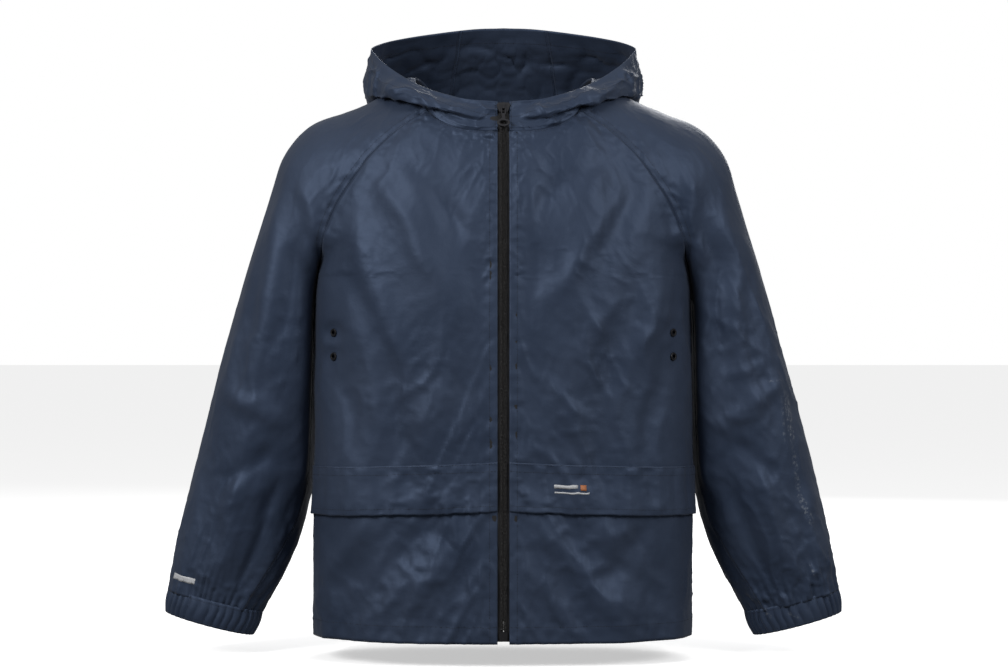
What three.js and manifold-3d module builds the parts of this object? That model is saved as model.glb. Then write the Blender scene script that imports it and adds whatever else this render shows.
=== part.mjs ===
// A hooded windbreaker jacket with raglan sleeves, filled out as if worn, with its hood lying back.
// Millimetres. X runs to the wearer's left, Y to the back and Z up. The origin is the middle of the neck's base.
import * as THREE from "three";
import { mergeVertices } from "three/addons/utils/BufferGeometryUtils.js";
import Module from "manifold-3d";

const wasm = await Module();
wasm.setup();

// Cloth and seams.
const CLOTH = 1.2; // wall of one layer of coated cloth, with its coating and seam tape
const HALF_GAP = 0.2; // each piece stops this far short of a seam
const UNDERARM_GAP = 0.5; // each piece stops this far short of the seam that is folded under the arm
const HOOD_CLEARANCE = 3; // between the hood and the shoulders
const ARM_CLEARANCE = 3; // between a hanging sleeve and the body's side

// Heights of the body.
const HEM_Z = -656;
const NECK_FRONT_Z = -63;
const NECK_BACK_Z = -14;
const UNDERARM = { y: 15, z: -238 };
const SIDE_SEAM_Y = 6; // the side seam at the hem

// Zip.
const ZIP = {
  opening: 6.8, // from its middle to a front's edge
  tape: 15.5, // from its middle to the tape's outer edge
  tapeWall: 0.8,
  coilIn: 0.35, // from its middle to the coil's inner side
  coilOut: 3.85,
  coilWall: 2.4,
  top: -34,
  bottom: -653,
};

// Level cuts through the body: half its width, its depth to the front and to the back, and how square it is.
const BODY = [
  { z: -680, half: 227, front: 124, back: 114, square: 2.5 },
  { z: -500, half: 227, front: 126, back: 114, square: 2.5 },
  { z: -380, half: 225, front: 127, back: 115, square: 2.5 },
  { z: -230, half: 222, front: 125, back: 116, square: 2.5 },
  { z: -150, half: 212, front: 119, back: 115, square: 2.4 },
  { z: -100, half: 192, front: 110, back: 110, square: 2.3 },
  { z: -60, half: 160, front: 97, back: 102, square: 2.25 },
  { z: -30, half: 122, front: 84, back: 92, square: 2.2 },
  { z: 0, half: 88, front: 70, back: 80, square: 2.2 },
  { z: 40, half: 60, front: 52, back: 62, square: 2.2 },
];

// The arm from the neck to the cuff: its outer edge, the lean of that edge's normal in degrees above X,
// half its width and half its depth, and how far back its middle lies.
const ARM = [
  { x: 60, z: 14, lean: 71, half: 50, deep: 50, y: 2 },
  { x: 120, z: -8, lean: 70, half: 58, deep: 56, y: 2 },
  { x: 182, z: -30, lean: 69, half: 66, deep: 62, y: 4 },
  { x: 231, z: -49, lean: 58, half: 72, deep: 68, y: 8 },
  { x: 260, z: -78, lean: 36, half: 76, deep: 73, y: 11 },
  { x: 278, z: -122, lean: 22, half: 77, deep: 77, y: 14 },
  { x: 306, z: -210, lean: 17, half: 77, deep: 80, y: 18 },
  { x: 330, z: -290, lean: 16, half: 78, deep: 78, y: 21 },
  { x: 356, z: -386, lean: 15, half: 78, deep: 70, y: 24 },
  { x: 379, z: -480, lean: 15, half: 75, deep: 60, y: 24 },
  { x: 395, z: -552, lean: 15, half: 67, deep: 50, y: 22 },
  { x: 404, z: -606, lean: 15, half: 58, deep: 38, y: 20 },
];

// The raglan seam from the neck to the underarm: where it lies on the front and on the back, the lean of the
// sleeve's rib that starts there, how far into the sleeve that rib's middle lies, and its row's height at the
// middle of the front and of the back. Under the arm the seam's own depths are given.
const RAGLAN = [
  { frontX: 88, frontZ: -37, backX: 80, backZ: -16, lean: 60, into: 6, chest: NECK_FRONT_Z, spine: NECK_BACK_Z },
  { frontX: 104, frontZ: -46, backX: 97, backZ: -30, lean: 62, into: 5, chest: -72, spine: -28 },
  { frontX: 122, frontZ: -58, backX: 116, backZ: -47, lean: 63, into: 4, chest: -82, spine: -45 },
  { frontX: 140, frontZ: -74, backX: 136, backZ: -66, lean: 62, into: 2, chest: -95, spine: -64 },
  { frontX: 157, frontZ: -91, backX: 155, backZ: -87, lean: 54, into: 3, chest: -110, spine: -85 },
  { frontX: 172, frontZ: -111, backX: 172, backZ: -110, lean: 44, into: 6, chest: -126, spine: -107 },
  { frontX: 190, frontZ: -137, backX: 189, backZ: -137, lean: 34, into: 14, chest: -148, spine: -135 },
  { frontX: 203, frontZ: -162, backX: 202, backZ: -162, lean: 27, into: 25, chest: -170, spine: -161 },
  { frontX: 212, frontZ: -187, backX: 211, backZ: -187, lean: 22, into: 36, chest: -192, spine: -187 },
  { frontY: -40, backY: 68, frontZ: -208, backZ: -208, lean: 19, into: 40, chest: -211, spine: -208 },
  { frontY: -14, backY: 44, frontZ: -226, backZ: -226, lean: 18, into: 42, chest: -227, spine: -226 },
  { frontY: 15, backY: 15, frontZ: -238, backZ: -238, lean: 17, into: 43, chest: -240, spine: -238 },
];

// The hood from the front round to the back: the points its cloth passes from the neck seam to the rim.
const HOOD = [
  { round: 0, under: [6.8, -94, -54], fold: [6.8, -91, -46], side: [6.8, -88, -38], rim: [6.8, -84, -29] },
  { round: 0.15, under: [40, -91, -52], fold: [43, -98, -44], side: [47, -93, -34], rim: [50, -79, -24] },
  { round: 0.3, under: [95, -66, -27], fold: [103, -82, -31], side: [108, -74, -14], rim: [100, -56, -5] },
  { round: 0.43, under: [118, -22, -2], fold: [142, -30, -21], side: [148, -30, -4], rim: [135, -26, 18] },
  { round: 0.53, under: [125, 14, 2], fold: [158, 16, -19], side: [162, 14, 8], rim: [155, 8, 38] },
  { round: 0.63, under: [120, 60, -6], fold: [154, 76, -32], side: [169, 66, 4], rim: [158, 36, 50] },
  { round: 0.74, under: [92, 98, -26], fold: [122, 132, -62], side: [140, 138, 0], rim: [124, 86, 66] },
  { round: 0.85, under: [46, 112, -38], fold: [56, 150, -86], side: [62, 178, -14], rim: [48, 122, 81] },
  { round: 1, under: [0, 114, -42], fold: [0, 152, -92], side: [0, 186, -20], rim: [0, 128, 84] },
];

// Cuff: a gathered casing with elastic inside, below the sleeve's last rib.
const CUFF = { high: 27, gathers: 24, gatherDeep: 1.1, bulge: 1.5, mouth: 0.94, wall: 1.8 };

// Flap across the lower front, sewn down along its top.
const FLAP = {
  from: 17, // from the zip's middle
  topMiddle: -446,
  topSide: -456,
  high: 57,
  under: 0.8, // between its back and the front's cloth
  stand: 2.2, // its free edge stands this much further out
};

// Metal eyelets that air the underarm.
const EYELETS = [-297, -325];
const EYELET = { column: 6.68, hole: 2.7, barrel: 3.4, flange: 5, cut: 3.9, clear: 0.3, wall: 0.7 };

// Zip slider and its pull.
const SLIDER = { topWide: 16, bottomWide: 10, high: 12, plate: 1.4, clear: 0.4, top: 0.2 };
const CROWN = { wide: 2.4, tunnel: 2.4, bar: 1.2, high: 8, leg: 1.5 };
const PULL = { wall: 1.6, slotWide: 3.2, slotHigh: 7, legWide: 1.4, neckWide: 4, long: 25, ringWide: 15, ringHigh: 10, ringBar: 2.4 };
const ZIP_BOX = { wide: 9, high: 12, proud: 3 };

// Counts of facets.
const SLEEVE_SIDES = 16;
const FRONT_COLUMNS = 9;
const BACK_COLUMNS = 7; // on each side of the spine
const BODY_ROWS = 12; // below the underarm
const SLEEVE_RIBS = 12; // below the underarm
const HOOD_ROWS = 6;

const mix = THREE.MathUtils.lerp;
const vector = (x, y, z) => new THREE.Vector3(x, y, z);
const ease = (t) => THREE.MathUtils.smoothstep(t, 0, 1);
const range = (count) => Array.from({ length: count + 1 }, (_, i) => i / count);

// ---- Smooth tables ----

// The columns of a table at a place along one of them, on a smooth curve through its rows.
function rowAt(rows, key, at) {
  const last = rows.length - 1;
  let i = rows.findIndex((row, n) => n > 0 && at < row[key]) - 1;
  if (i < 0) i = at < rows[0][key] ? 0 : last - 1;
  const [a, b] = [rows[i], rows[i + 1]];
  const [before, after] = [rows[Math.max(i - 1, 0)], rows[Math.min(i + 2, last)]];
  const span = b[key] - a[key];
  const t = THREE.MathUtils.clamp((at - a[key]) / span, 0, 1);
  const result = {};
  for (const name of Object.keys(a)) {
    const slopeA = ((b[name] - before[name]) / (b[key] - before[key])) * span;
    const slopeB = ((after[name] - a[name]) / (after[key] - a[key])) * span;
    result[name] =
      a[name] * (1 + 2 * t) * (1 - t) ** 2 +
      slopeA * t * (1 - t) ** 2 +
      b[name] * t * t * (3 - 2 * t) +
      slopeB * t * t * (t - 1);
  }
  return result;
}

// The arm's middle line, as rows numbered along it.
const ARM_MIDDLE = ARM.map((row, at) => {
  const lean = THREE.MathUtils.degToRad(row.lean);
  return { ...row, at, x: row.x - Math.cos(lean) * row.half, z: row.z - Math.sin(lean) * row.half };
});
const ARM_STEPS = range(5 * (ARM.length - 1)).map((t) => rowAt(ARM_MIDDLE, "at", t * (ARM.length - 1)));

// ---- The form: negative inside, zero on the cloth's outer face ----

function bodyField(x, y, z) {
  const cut = rowAt(BODY, "z", z);
  const deep = y < 0 ? cut.front : cut.back;
  const q = (Math.abs(x) / cut.half) ** cut.square + (Math.abs(y) / deep) ** cut.square;
  return (q ** (1 / cut.square) - 1) * Math.min(cut.half, deep);
}

function armField(x, y, z) {
  let nearest = Infinity;
  let field = 0;
  for (let i = 1; i < ARM_STEPS.length; i++) {
    const [a, b] = [ARM_STEPS[i - 1], ARM_STEPS[i]];
    const [dx, dz] = [b.x - a.x, b.z - a.z];
    const t = THREE.MathUtils.clamp(((Math.abs(x) - a.x) * dx + (z - a.z) * dz) / (dx * dx + dz * dz), 0, 1);
    const across = Math.hypot(Math.abs(x) - a.x - t * dx, z - a.z - t * dz);
    if (across >= nearest) continue;
    nearest = across;
    const [half, deep] = [mix(a.half, b.half, t), mix(a.deep, b.deep, t)];
    field = (Math.hypot(across / half, (y - mix(a.y, b.y, t)) / deep) - 1) * Math.min(half, deep);
  }
  return field;
}

function softMin(a, b, reach) {
  const h = Math.max(reach - Math.abs(a - b), 0) / reach;
  return Math.min(a, b) - (h * h * reach) / 4;
}

// Body and arms in one, with a soft hollow between them that is wide at the neck and tight under the arm.
function jacketField(x, y, z) {
  return softMin(bodyField(x, y, z), armField(x, y, z), 10 + 45 * ease((z + 205) / 120));
}

// A hanging sleeve, flat where it lies beside the body.
function sleeveField(x, y, z) {
  const beside = 1.6 + ARM_CLEARANCE * ease((UNDERARM.z + 25 - z) / 60) - bodyField(x, y, z);
  return -softMin(-armField(x, y, z), -beside, 12);
}

// The point where a ray from inside leaves a field.
function leave(field, from, direction) {
  const step = 6;
  let far = step;
  const at = (r) => field(from.x + direction.x * r, from.y + direction.y * r, from.z + direction.z * r);
  while (at(far) < 0 && far < 400) far += step;
  let near = far - step;
  for (let i = 0; i < 16; i++) {
    const middle = (near + far) / 2;
    if (at(middle) < 0) near = middle;
    else far = middle;
  }
  return from.clone().addScaledVector(direction, near);
}

function normalOf(field, p) {
  const h = 1.5;
  return vector(
    field(p.x + h, p.y, p.z) - field(p.x - h, p.y, p.z),
    field(p.x, p.y + h, p.z) - field(p.x, p.y - h, p.z),
    field(p.x, p.y, p.z + h) - field(p.x, p.y, p.z - h),
  ).normalize();
}

// ---- The largest folds, as soft ridges along straight lines seen from the front (or from behind) ----

const FOLDS = [
  { back: 0, fromX: 70, fromZ: -140, toX: 160, toZ: -380, wide: 34, high: 3.0 },
  { back: 0, fromX: -60, fromZ: -180, toX: -150, toZ: -420, wide: 34, high: 3.0 },
  { back: 0, fromX: 40, fromZ: -520, toX: 150, toZ: -640, wide: 30, high: 3.0 },
  { back: 0, fromX: -50, fromZ: -520, toX: -140, toZ: -645, wide: 30, high: 3.0 },
  { back: 1, fromX: 80, fromZ: -180, toX: 130, toZ: -520, wide: 38, high: 3.5 },
  { back: 1, fromX: -80, fromZ: -200, toX: -120, toZ: -560, wide: 38, high: 3.5 },
];

function foldHeight(p) {
  let height = 0;
  for (const fold of FOLDS) {
    const [dx, dz] = [fold.toX - fold.fromX, fold.toZ - fold.fromZ];
    const t = THREE.MathUtils.clamp(
      ((p.x - fold.fromX) * dx + (p.z - fold.fromZ) * dz) / (dx * dx + dz * dz), 0, 1);
    const off = Math.hypot(p.x - fold.fromX - t * dx, p.z - fold.fromZ - t * dz) / fold.wide;
    const side = fold.back ? ease(p.y / 40) : ease(-p.y / 40);
    height += fold.high * side * Math.exp(-off * off);
  }
  return height;
}

// ---- Cloth: a grid of points with their normals, given a wall ----

// One point of cloth: its place on the outer face, and the direction out of it.
const clothPoint = (place, normal) => ({ place, normal });

// Moves a grid's edge rows or columns a little away from the seams that they meet.
function trimmed(grid, { first = 0, last = 0, left = 0, right = 0 }) {
  const pull = (p, q, by) => by && p.place.add(q.place.clone().sub(p.place).setLength(by));
  const [rows, columns] = [grid.length - 1, grid[0].length - 1];
  for (let j = 0; j <= columns; j++) {
    pull(grid[0][j], grid[1][j], first);
    pull(grid[rows][j], grid[rows - 1][j], last);
  }
  for (let i = 0; i <= rows; i++) {
    pull(grid[i][0], grid[i][1], left);
    pull(grid[i][columns], grid[i][columns - 1], right);
  }
  return grid;
}

// A closed wall on a grid, its outer face moved out by `lift` and its inner face `wall` behind that.
// Rows run so that row direction x column direction points out of the cloth.
// A mirrored grid splits its squares the other way, so that both sides have the same facets.
function clothGeometry(grid, { wall = CLOTH, lift = 0, mirrored = false } = {}) {
  const [rows, columns] = [grid.length, grid[0].length];
  const points = [];
  for (const depth of [lift, lift - wall])
    for (const row of grid)
      for (const p of row) points.push(...p.place.clone().addScaledVector(p.normal, depth).toArray());
  const at = (side, i, j) => side * rows * columns + i * columns + j;
  const faces = [];
  const quad = (a, b, c, d) => (mirrored ? faces.push(a, b, d, b, c, d) : faces.push(a, b, c, a, c, d));
  for (let i = 0; i + 1 < rows; i++)
    for (let j = 0; j + 1 < columns; j++) {
      quad(at(0, i, j), at(0, i + 1, j), at(0, i + 1, j + 1), at(0, i, j + 1));
      quad(at(1, i + 1, j + 1), at(1, i + 1, j), at(1, i, j), at(1, i, j + 1));
    }
  for (let j = 0; j + 1 < columns; j++) {
    quad(at(0, 0, j), at(0, 0, j + 1), at(1, 0, j + 1), at(1, 0, j));
    quad(at(0, rows - 1, j + 1), at(0, rows - 1, j), at(1, rows - 1, j), at(1, rows - 1, j + 1));
  }
  for (let i = 0; i + 1 < rows; i++) {
    quad(at(0, i + 1, 0), at(0, i, 0), at(1, i, 0), at(1, i + 1, 0));
    quad(at(0, i, columns - 1), at(0, i + 1, columns - 1), at(1, i + 1, columns - 1), at(1, i, columns - 1));
  }
  const geometry = new THREE.BufferGeometry();
  geometry.setAttribute("position", new THREE.Float32BufferAttribute(points, 3));
  geometry.setIndex(faces);
  return geometry;
}

const mirroredGrid = (grid) =>
  grid.map((row) =>
    row
      .map((p) => clothPoint(p.place.clone().setX(-p.place.x), p.normal.clone().setX(-p.normal.x)))
      .reverse());

// ---- Body and sleeves ----

// The seam between body and sleeve at one row of the raglan table, on one side ("front" or "back").
function seamPoint(row, side) {
  const sign = side === "front" ? -1 : 1;
  const [x, z] = [row[side + "X"], row[side + "Z"]];
  if (x !== undefined) return leave(jacketField, vector(x, 8, z), vector(0, sign, 0));
  const cut = rowAt(BODY, "z", z);
  const y = row[side + "Y"];
  const reach = (Math.abs(y) / (y < 0 ? cut.front : cut.back)) ** cut.square;
  return vector(cut.half * (1 - reach) ** (1 / cut.square), y, z);
}

const SEAM = RAGLAN.map((row) => ({ front: seamPoint(row, "front"), back: seamPoint(row, "back") }));
const fieldOfRow = (k) => (RAGLAN[k].frontX === undefined ? bodyField : jacketField);

// A point of the body's cloth in the direction of an angle round its upright axis.
function bodyPoint(field, angle, z) {
  const place = leave(field, vector(0, 0, z), vector(Math.cos(angle), Math.sin(angle), 0));
  const normal = normalOf(field, place);
  place.addScaledVector(normal, foldHeight(place));
  return clothPoint(place, normal);
}

// Half a body panel: a row for each row of the raglan seam, then rows down to the hem.
// `middle` gives the angle of its middle edge at a height, and `level` the raglan table's column for it.
function bodyPanel(side, columns, middle, level) {
  const rows = RAGLAN.map((row, k) => {
    const seam = SEAM[k][side];
    const bend = mix(3.2, 1.5, k / (RAGLAN.length - 1));
    return range(columns).map((u) => {
      const z = mix(row[level], seam.z, u ** bend);
      const angle = mix(middle(z), Math.atan2(seam.y, seam.x), u);
      if (u === 1) return clothPoint(seam.clone(), normalOf(fieldOfRow(k), seam));
      return bodyPoint(fieldOfRow(k), angle, z);
    });
  });
  for (const t of range(BODY_ROWS).slice(1)) {
    const z = mix(UNDERARM.z, HEM_Z, t);
    const seam = Math.atan2(mix(UNDERARM.y, SIDE_SEAM_Y, t), rowAt(BODY, "z", z).half);
    rows.push(range(columns).map((u) => bodyPoint(bodyField, mix(middle(z), seam, u), z)));
  }
  return rows;
}

const zipAngle = (z) => Math.atan2(-rowAt(BODY, "z", z).front, ZIP.opening);
const frontGrid = () => bodyPanel("front", FRONT_COLUMNS, zipAngle, "chest");
const halfBackGrid = () => bodyPanel("back", BACK_COLUMNS, () => Math.PI / 2, "spine");

// One rib of the sleeve: a middle line in the plane of X and Z, a lean, the field it lies on, and its two ends.
function sleeveRibs() {
  const ribs = RAGLAN.map((row, k) => {
    const lean = THREE.MathUtils.degToRad(row.lean);
    const out = vector(Math.cos(lean), 0, Math.sin(lean));
    const y = rowAt(ARM_MIDDLE, "at", mix(1, 6, k / (RAGLAN.length - 1))).y;
    const centre = (seam) => vector(seam.x, y, seam.z).addScaledVector(out, row.into);
    const beside = vector(row.frontX === undefined ? 3 * UNDERARM_GAP : 0, 0, 0);
    const [front, back] = [SEAM[k].front.clone().add(beside), SEAM[k].back.clone().add(beside)];
    return {
      out,
      field: row.frontX === undefined ? sleeveField : jacketField,
      centres: [centre(front), centre(back)],
      ends: [front, back],
      angles: [
        Math.atan2(front.y - y, -row.into) - (front.y >= y ? 2 * Math.PI : 0),
        Math.atan2(back.y - y, -row.into) + (back.y < y ? 2 * Math.PI : 0),
      ],
    };
  });
  const lastArm = ARM.length - 1;
  for (const t of range(SLEEVE_RIBS).slice(1)) {
    const middle = rowAt(ARM_MIDDLE, "at", mix(6.15, lastArm, t));
    const lean = THREE.MathUtils.degToRad(middle.lean);
    const out = vector(Math.cos(lean), 0, Math.sin(lean));
    const centre = vector(middle.x, middle.y, middle.z).addScaledVector(out, 34 * (1 - ease(t / 0.7)));
    const start = -Math.PI + THREE.MathUtils.degToRad(38) * ease(t);
    ribs.push({ out, field: sleeveField, centres: [centre, centre], angles: [start, start + 2 * Math.PI] });
  }
  return ribs;
}

function ribPoint(rib, t) {
  const angle = mix(rib.angles[0], rib.angles[1], t);
  const direction = rib.out.clone().multiplyScalar(Math.cos(angle)).add(vector(0, Math.sin(angle), 0));
  const centre = rib.centres[0].clone().lerp(rib.centres[1], t);
  const place = rib.ends && t === 0 ? rib.ends[0].clone()
    : rib.ends && t === 1 ? rib.ends[1].clone()
      : leave(rib.field, centre, direction);
  return clothPoint(place, normalOf(rib.field, place));
}

const RIBS = sleeveRibs();
const sleeveGrid = () => RIBS.map((rib) => range(SLEEVE_SIDES).map((t) => ribPoint(rib, t)));

// ---- Hood ----

// The neck seam from the middle of the front round one side to the middle of the back.
function neckSeam(front, sleeve, back) {
  const line = [...front[0], ...sleeve[0].slice(1), ...[...back[0]].reverse().slice(1)].map((p) => p.place.clone());
  return line;
}

// A point of the hood, moved out to lie on the shoulder or the back where it would be inside them.
function clearOfShoulder(place) {
  for (let i = 0; i < 4; i++) {
    const field = jacketField(place.x, place.y, place.z);
    if (field < HOOD_CLEARANCE) place.addScaledVector(normalOf(jacketField, place), HOOD_CLEARANCE - field);
  }
  return place;
}

// Half the hood: rows from the neck seam to the rim, a column for each point of the neck seam.
function halfHood(seam) {
  const lengths = seam.map((p, i) => (i ? p.distanceTo(seam[i - 1]) : 0));
  const whole = lengths.reduce((a, b) => a + b);
  let gone = 0;
  const rows = HOOD.map(({ round, under, fold, side, rim }) => {
    const row = { round };
    for (const [name, point] of Object.entries({ under, fold, side, rim }))
      point.forEach((value, axis) => (row[name + axis] = value));
    return row;
  });
  return seam.map((start, j) => {
    gone += lengths[j];
    const row = rowAt(rows, "round", gone / whole);
    const point = (name) => vector(row[name + 0], row[name + 1], row[name + 2]);
    const path = new THREE.CatmullRomCurve3([start, point("under"), point("fold"), point("side"), point("rim")]);
    return range(HOOD_ROWS).map((t) => (t ? clearOfShoulder(path.getPointAt(t)) : start));
  });
}

const half = { front: frontGrid(), back: halfBackGrid(), sleeve: sleeveGrid() };
const neck = neckSeam(half.front, half.sleeve, half.back);

// ---- Scene ----

const NAVY = { color: 0x2a3550, roughness: 0.5, metalness: 0 };
const TAPE = { color: 0x25252a, roughness: 0.8, metalness: 0 };
const COIL = { color: 0x2d2a2a, roughness: 0.5, metalness: 0 };
const METAL = { color: 0x6d6f73, roughness: 0.35, metalness: 0.9 };

const jacket = new THREE.Group();
function add(name, geometry, material, parent = jacket) {
  const mesh = new THREE.Mesh(geometry, new THREE.MeshStandardMaterial(material));
  mesh.name = name;
  parent.add(mesh);
  return mesh;
}

// Adds a left piece and its mirror image.
function addPair(name, grid, material, options) {
  add(name + "_left", clothGeometry(grid, options), material);
  add(name + "_right", clothGeometry(mirroredGrid(grid), { ...options, mirrored: true }), material);
}

// ---- Joining and cutting ----

function solid(geometry) {
  const bare = new THREE.BufferGeometry().setAttribute("position", geometry.getAttribute("position"));
  bare.setIndex(geometry.index);
  const merged = mergeVertices(bare, 1e-4);
  return new wasm.Manifold(new wasm.Mesh({
    numProp: 3,
    vertProperties: new Float32Array(merged.attributes.position.array),
    triVerts: new Uint32Array(merged.index.array),
  }));
}

function geometryOf(made) {
  const mesh = made.getMesh();
  const geometry = new THREE.BufferGeometry();
  geometry.setAttribute("position", new THREE.BufferAttribute(new Float32Array(mesh.vertProperties), 3));
  geometry.setIndex(new THREE.BufferAttribute(new Uint32Array(mesh.triVerts), 1));
  return geometry;
}

const joined = (...geometries) => geometryOf(geometries.map(solid).reduce((a, b) => a.add(b)));

// ---- Fronts with their eyelets ----

// A point of a front between its rows and columns, both counted from the neck and the zip.
function frontAt(grid, row, column) {
  const [i, j] = [Math.min(Math.floor(row), grid.length - 2), Math.min(Math.floor(column), FRONT_COLUMNS - 1)];
  const [v, u] = [row - i, column - j];
  const along = (key) => {
    const top = grid[i][j][key].clone().lerp(grid[i][j + 1][key], u);
    return top.lerp(grid[i + 1][j][key].clone().lerp(grid[i + 1][j + 1][key], u), v);
  };
  return clothPoint(along("place"), along("normal").normalize());
}

// The row number of a height below the underarm.
const rowOf = (z) => RAGLAN.length - 1 + ((z - UNDERARM.z) / (HEM_Z - UNDERARM.z)) * BODY_ROWS;

// The flat facet under an eyelet gives the eyelet's direction.
function eyeletPlace(grid, z) {
  const middle = frontAt(grid, rowOf(z), EYELET.column).place;
  const right = frontAt(grid, rowOf(z), EYELET.column + 0.2).place.sub(middle);
  const down = frontAt(grid, rowOf(z) + 0.2, EYELET.column).place.sub(middle);
  const out = down.cross(right).normalize();
  const turn = new THREE.Quaternion().setFromUnitVectors(vector(0, 1, 0), out);
  return new THREE.Matrix4().compose(middle, turn, vector(1, 1, 1));
}

// The eyelet's section, its axis along Y and the cloth's outer face at zero.
function eyeletGeometry() {
  const front = EYELET.clear;
  const back = -CLOTH - EYELET.clear;
  const profile = [
    [EYELET.hole, back - EYELET.wall],
    [EYELET.flange, back - EYELET.wall],
    [EYELET.flange, back],
    [EYELET.barrel, back],
    [EYELET.barrel, front],
    [EYELET.flange, front],
    [EYELET.flange - 0.5, front + EYELET.wall],
    [EYELET.hole + 0.5, front + EYELET.wall],
    [EYELET.hole, front],
    [EYELET.hole, back - EYELET.wall],
  ];
  return new THREE.LatheGeometry(profile.map(([r, y]) => new THREE.Vector2(r, y)), 12);
}

function addFronts(grid) {
  const mirror = new THREE.Matrix4().makeScale(-1, 1, 1);
  for (const side of ["left", "right"]) {
    const mirrored = side === "right";
    let cloth = solid(clothGeometry(mirrored ? mirroredGrid(grid) : grid, { mirrored }));
    EYELETS.forEach((z, i) => {
      const place = eyeletPlace(grid, z);
      if (side === "right") place.premultiply(mirror).multiply(mirror);
      const cutter = new THREE.CylinderGeometry(EYELET.cut, EYELET.cut, 12, 12).applyMatrix4(place);
      cloth = cloth.subtract(solid(cutter));
      add(`eyelet_${side}_${i ? "lower" : "upper"}`, eyeletGeometry().applyMatrix4(place), METAL);
    });
    add("front_" + side, geometryOf(cloth), NAVY);
  }
}

const frontLeft = trimmed(half.front, { first: HALF_GAP, right: HALF_GAP });
addFronts(frontLeft);

// ---- Back and sleeves ----

const mirroredRow = (row) => mirroredGrid([row])[0];
const whole = (grid) => grid.map((row) => [...[...row].reverse(), ...mirroredRow([...row].reverse()).slice(1)]);
add("back", clothGeometry(trimmed(whole(half.back), { first: HALF_GAP, left: HALF_GAP, right: HALF_GAP })), NAVY);
const sleeve = trimmed(half.sleeve, { first: HALF_GAP, last: HALF_GAP, left: HALF_GAP, right: HALF_GAP });
addPair("sleeve", sleeve, NAVY);

// ---- Cuffs ----

// A ring of the arm's last section, `down` the arm from the sleeve's end, its size scaled.
function cuffGrid() {
  const end = ARM_MIDDLE[ARM_MIDDLE.length - 1];
  const lean = THREE.MathUtils.degToRad(end.lean);
  const out = vector(Math.cos(lean), 0, Math.sin(lean));
  const down = vector(Math.sin(lean), 0, -Math.cos(lean));
  const start = RIBS[RIBS.length - 1].angles[0];
  return range(3).map((v) =>
    range(2 * CUFF.gathers).map((u, k) => {
      const angle = start + 2 * Math.PI * u;
      const size = mix(1, CUFF.mouth, v);
      const swell = CUFF.bulge * Math.sin(Math.PI * v) + (k % 2 ? CUFF.gatherDeep : 0) * Math.sin(Math.PI * Math.min(v, 0.7));
      const round = out.clone().multiplyScalar(Math.cos(angle) * (end.half * size + swell));
      const place = vector(end.x, end.y, end.z)
        .addScaledVector(down, mix(2 * HALF_GAP, CUFF.high, v))
        .add(round)
        .add(vector(0, Math.sin(angle) * (end.deep * size + swell), 0));
      const normal = out.clone().multiplyScalar(Math.cos(angle) / end.half).add(vector(0, Math.sin(angle) / end.deep, 0));
      return clothPoint(place, normal.normalize());
    }));
}
addPair("cuff", trimmed(cuffGrid(), { left: HALF_GAP, right: HALF_GAP }), NAVY, { wall: CUFF.wall });

// ---- Flaps ----

// Its columns and its middle row are the front's own, so that it lies on the front's facets.
function flapGrid(grid) {
  const columns = range(FRONT_COLUMNS).map((u) => (u ? u * FRONT_COLUMNS : FLAP.from / 42));
  const middleRow = Math.ceil(rowOf(FLAP.topSide));
  const middleZ = mix(UNDERARM.z, HEM_Z, (middleRow - RAGLAN.length + 1) / BODY_ROWS);
  return [0, (FLAP.topMiddle - middleZ) / FLAP.high, 1].map((v) =>
    columns.map((column) => {
      const top = mix(FLAP.topMiddle, FLAP.topSide, column / FRONT_COLUMNS);
      const z = v > 0 && v < 1 ? middleZ : top - FLAP.high * v;
      const p = frontAt(grid, rowOf(z), column);
      p.place.addScaledVector(p.normal, FLAP.stand * ease((v - 0.3) / 0.7));
      return p;
    }));
}
const flap = trimmed(flapGrid(frontLeft), { right: 1.5 });
addPair("flap", flap, NAVY, { lift: FLAP.under + CLOTH });

// ---- Hood ----

// A grid's normals from its own points.
function withNormals(places) {
  const [rows, columns] = [places.length - 1, places[0].length - 1];
  return places.map((row, i) =>
    row.map((place, j) => {
      const down = places[Math.min(i + 1, rows)][j].clone().sub(places[Math.max(i - 1, 0)][j]);
      const across = row[Math.min(j + 1, columns)].clone().sub(row[Math.max(j - 1, 0)]);
      return clothPoint(place, down.cross(across).normalize());
    }));
}

function addHood(seam) {
  const columns = halfHood(seam);
  const rows = range(HOOD_ROWS).map((_, i) => columns.map((column) => column[HOOD_ROWS - i]));
  const otherSide = (row) => row.map((p) => p.clone().setX(-p.x)).reverse().slice(1);
  const round = withNormals(rows.map((row) => [...row, ...otherSide(row)]));
  const middle = seam.length - 1;
  const split = middle - (BACK_COLUMNS - 2);
  const cut = (from, to) => round.map((row) => row.slice(from, to + 1).map((p) => clothPoint(p.place.clone(), p.normal)));
  const left = trimmed(cut(0, split), { last: HALF_GAP, right: HALF_GAP });
  addPair("hood", left, NAVY);
  add("hood_centre", clothGeometry(
    trimmed(cut(split, 2 * middle - split), { last: HALF_GAP, left: HALF_GAP, right: HALF_GAP })), NAVY);
  return left;
}
const hoodLeft = addHood(neck);

// ---- Zip ----

// The front edge's line from the hood's rim to the hem, as seen from the side.
const edgeLine = [...hoodLeft.map((row) => row[0].place), ...frontLeft.slice(1).map((row) => row[0].place)];

// The point of the front edge's line at a height.
function edgeAt(z) {
  const i = Math.max(1, edgeLine.findIndex((p) => p.z <= z));
  const [a, b] = [edgeLine[i - 1], edgeLine[i]];
  return vector(0, mix(a.y, b.y, (a.z - z) / (a.z - b.z)), z);
}

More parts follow.
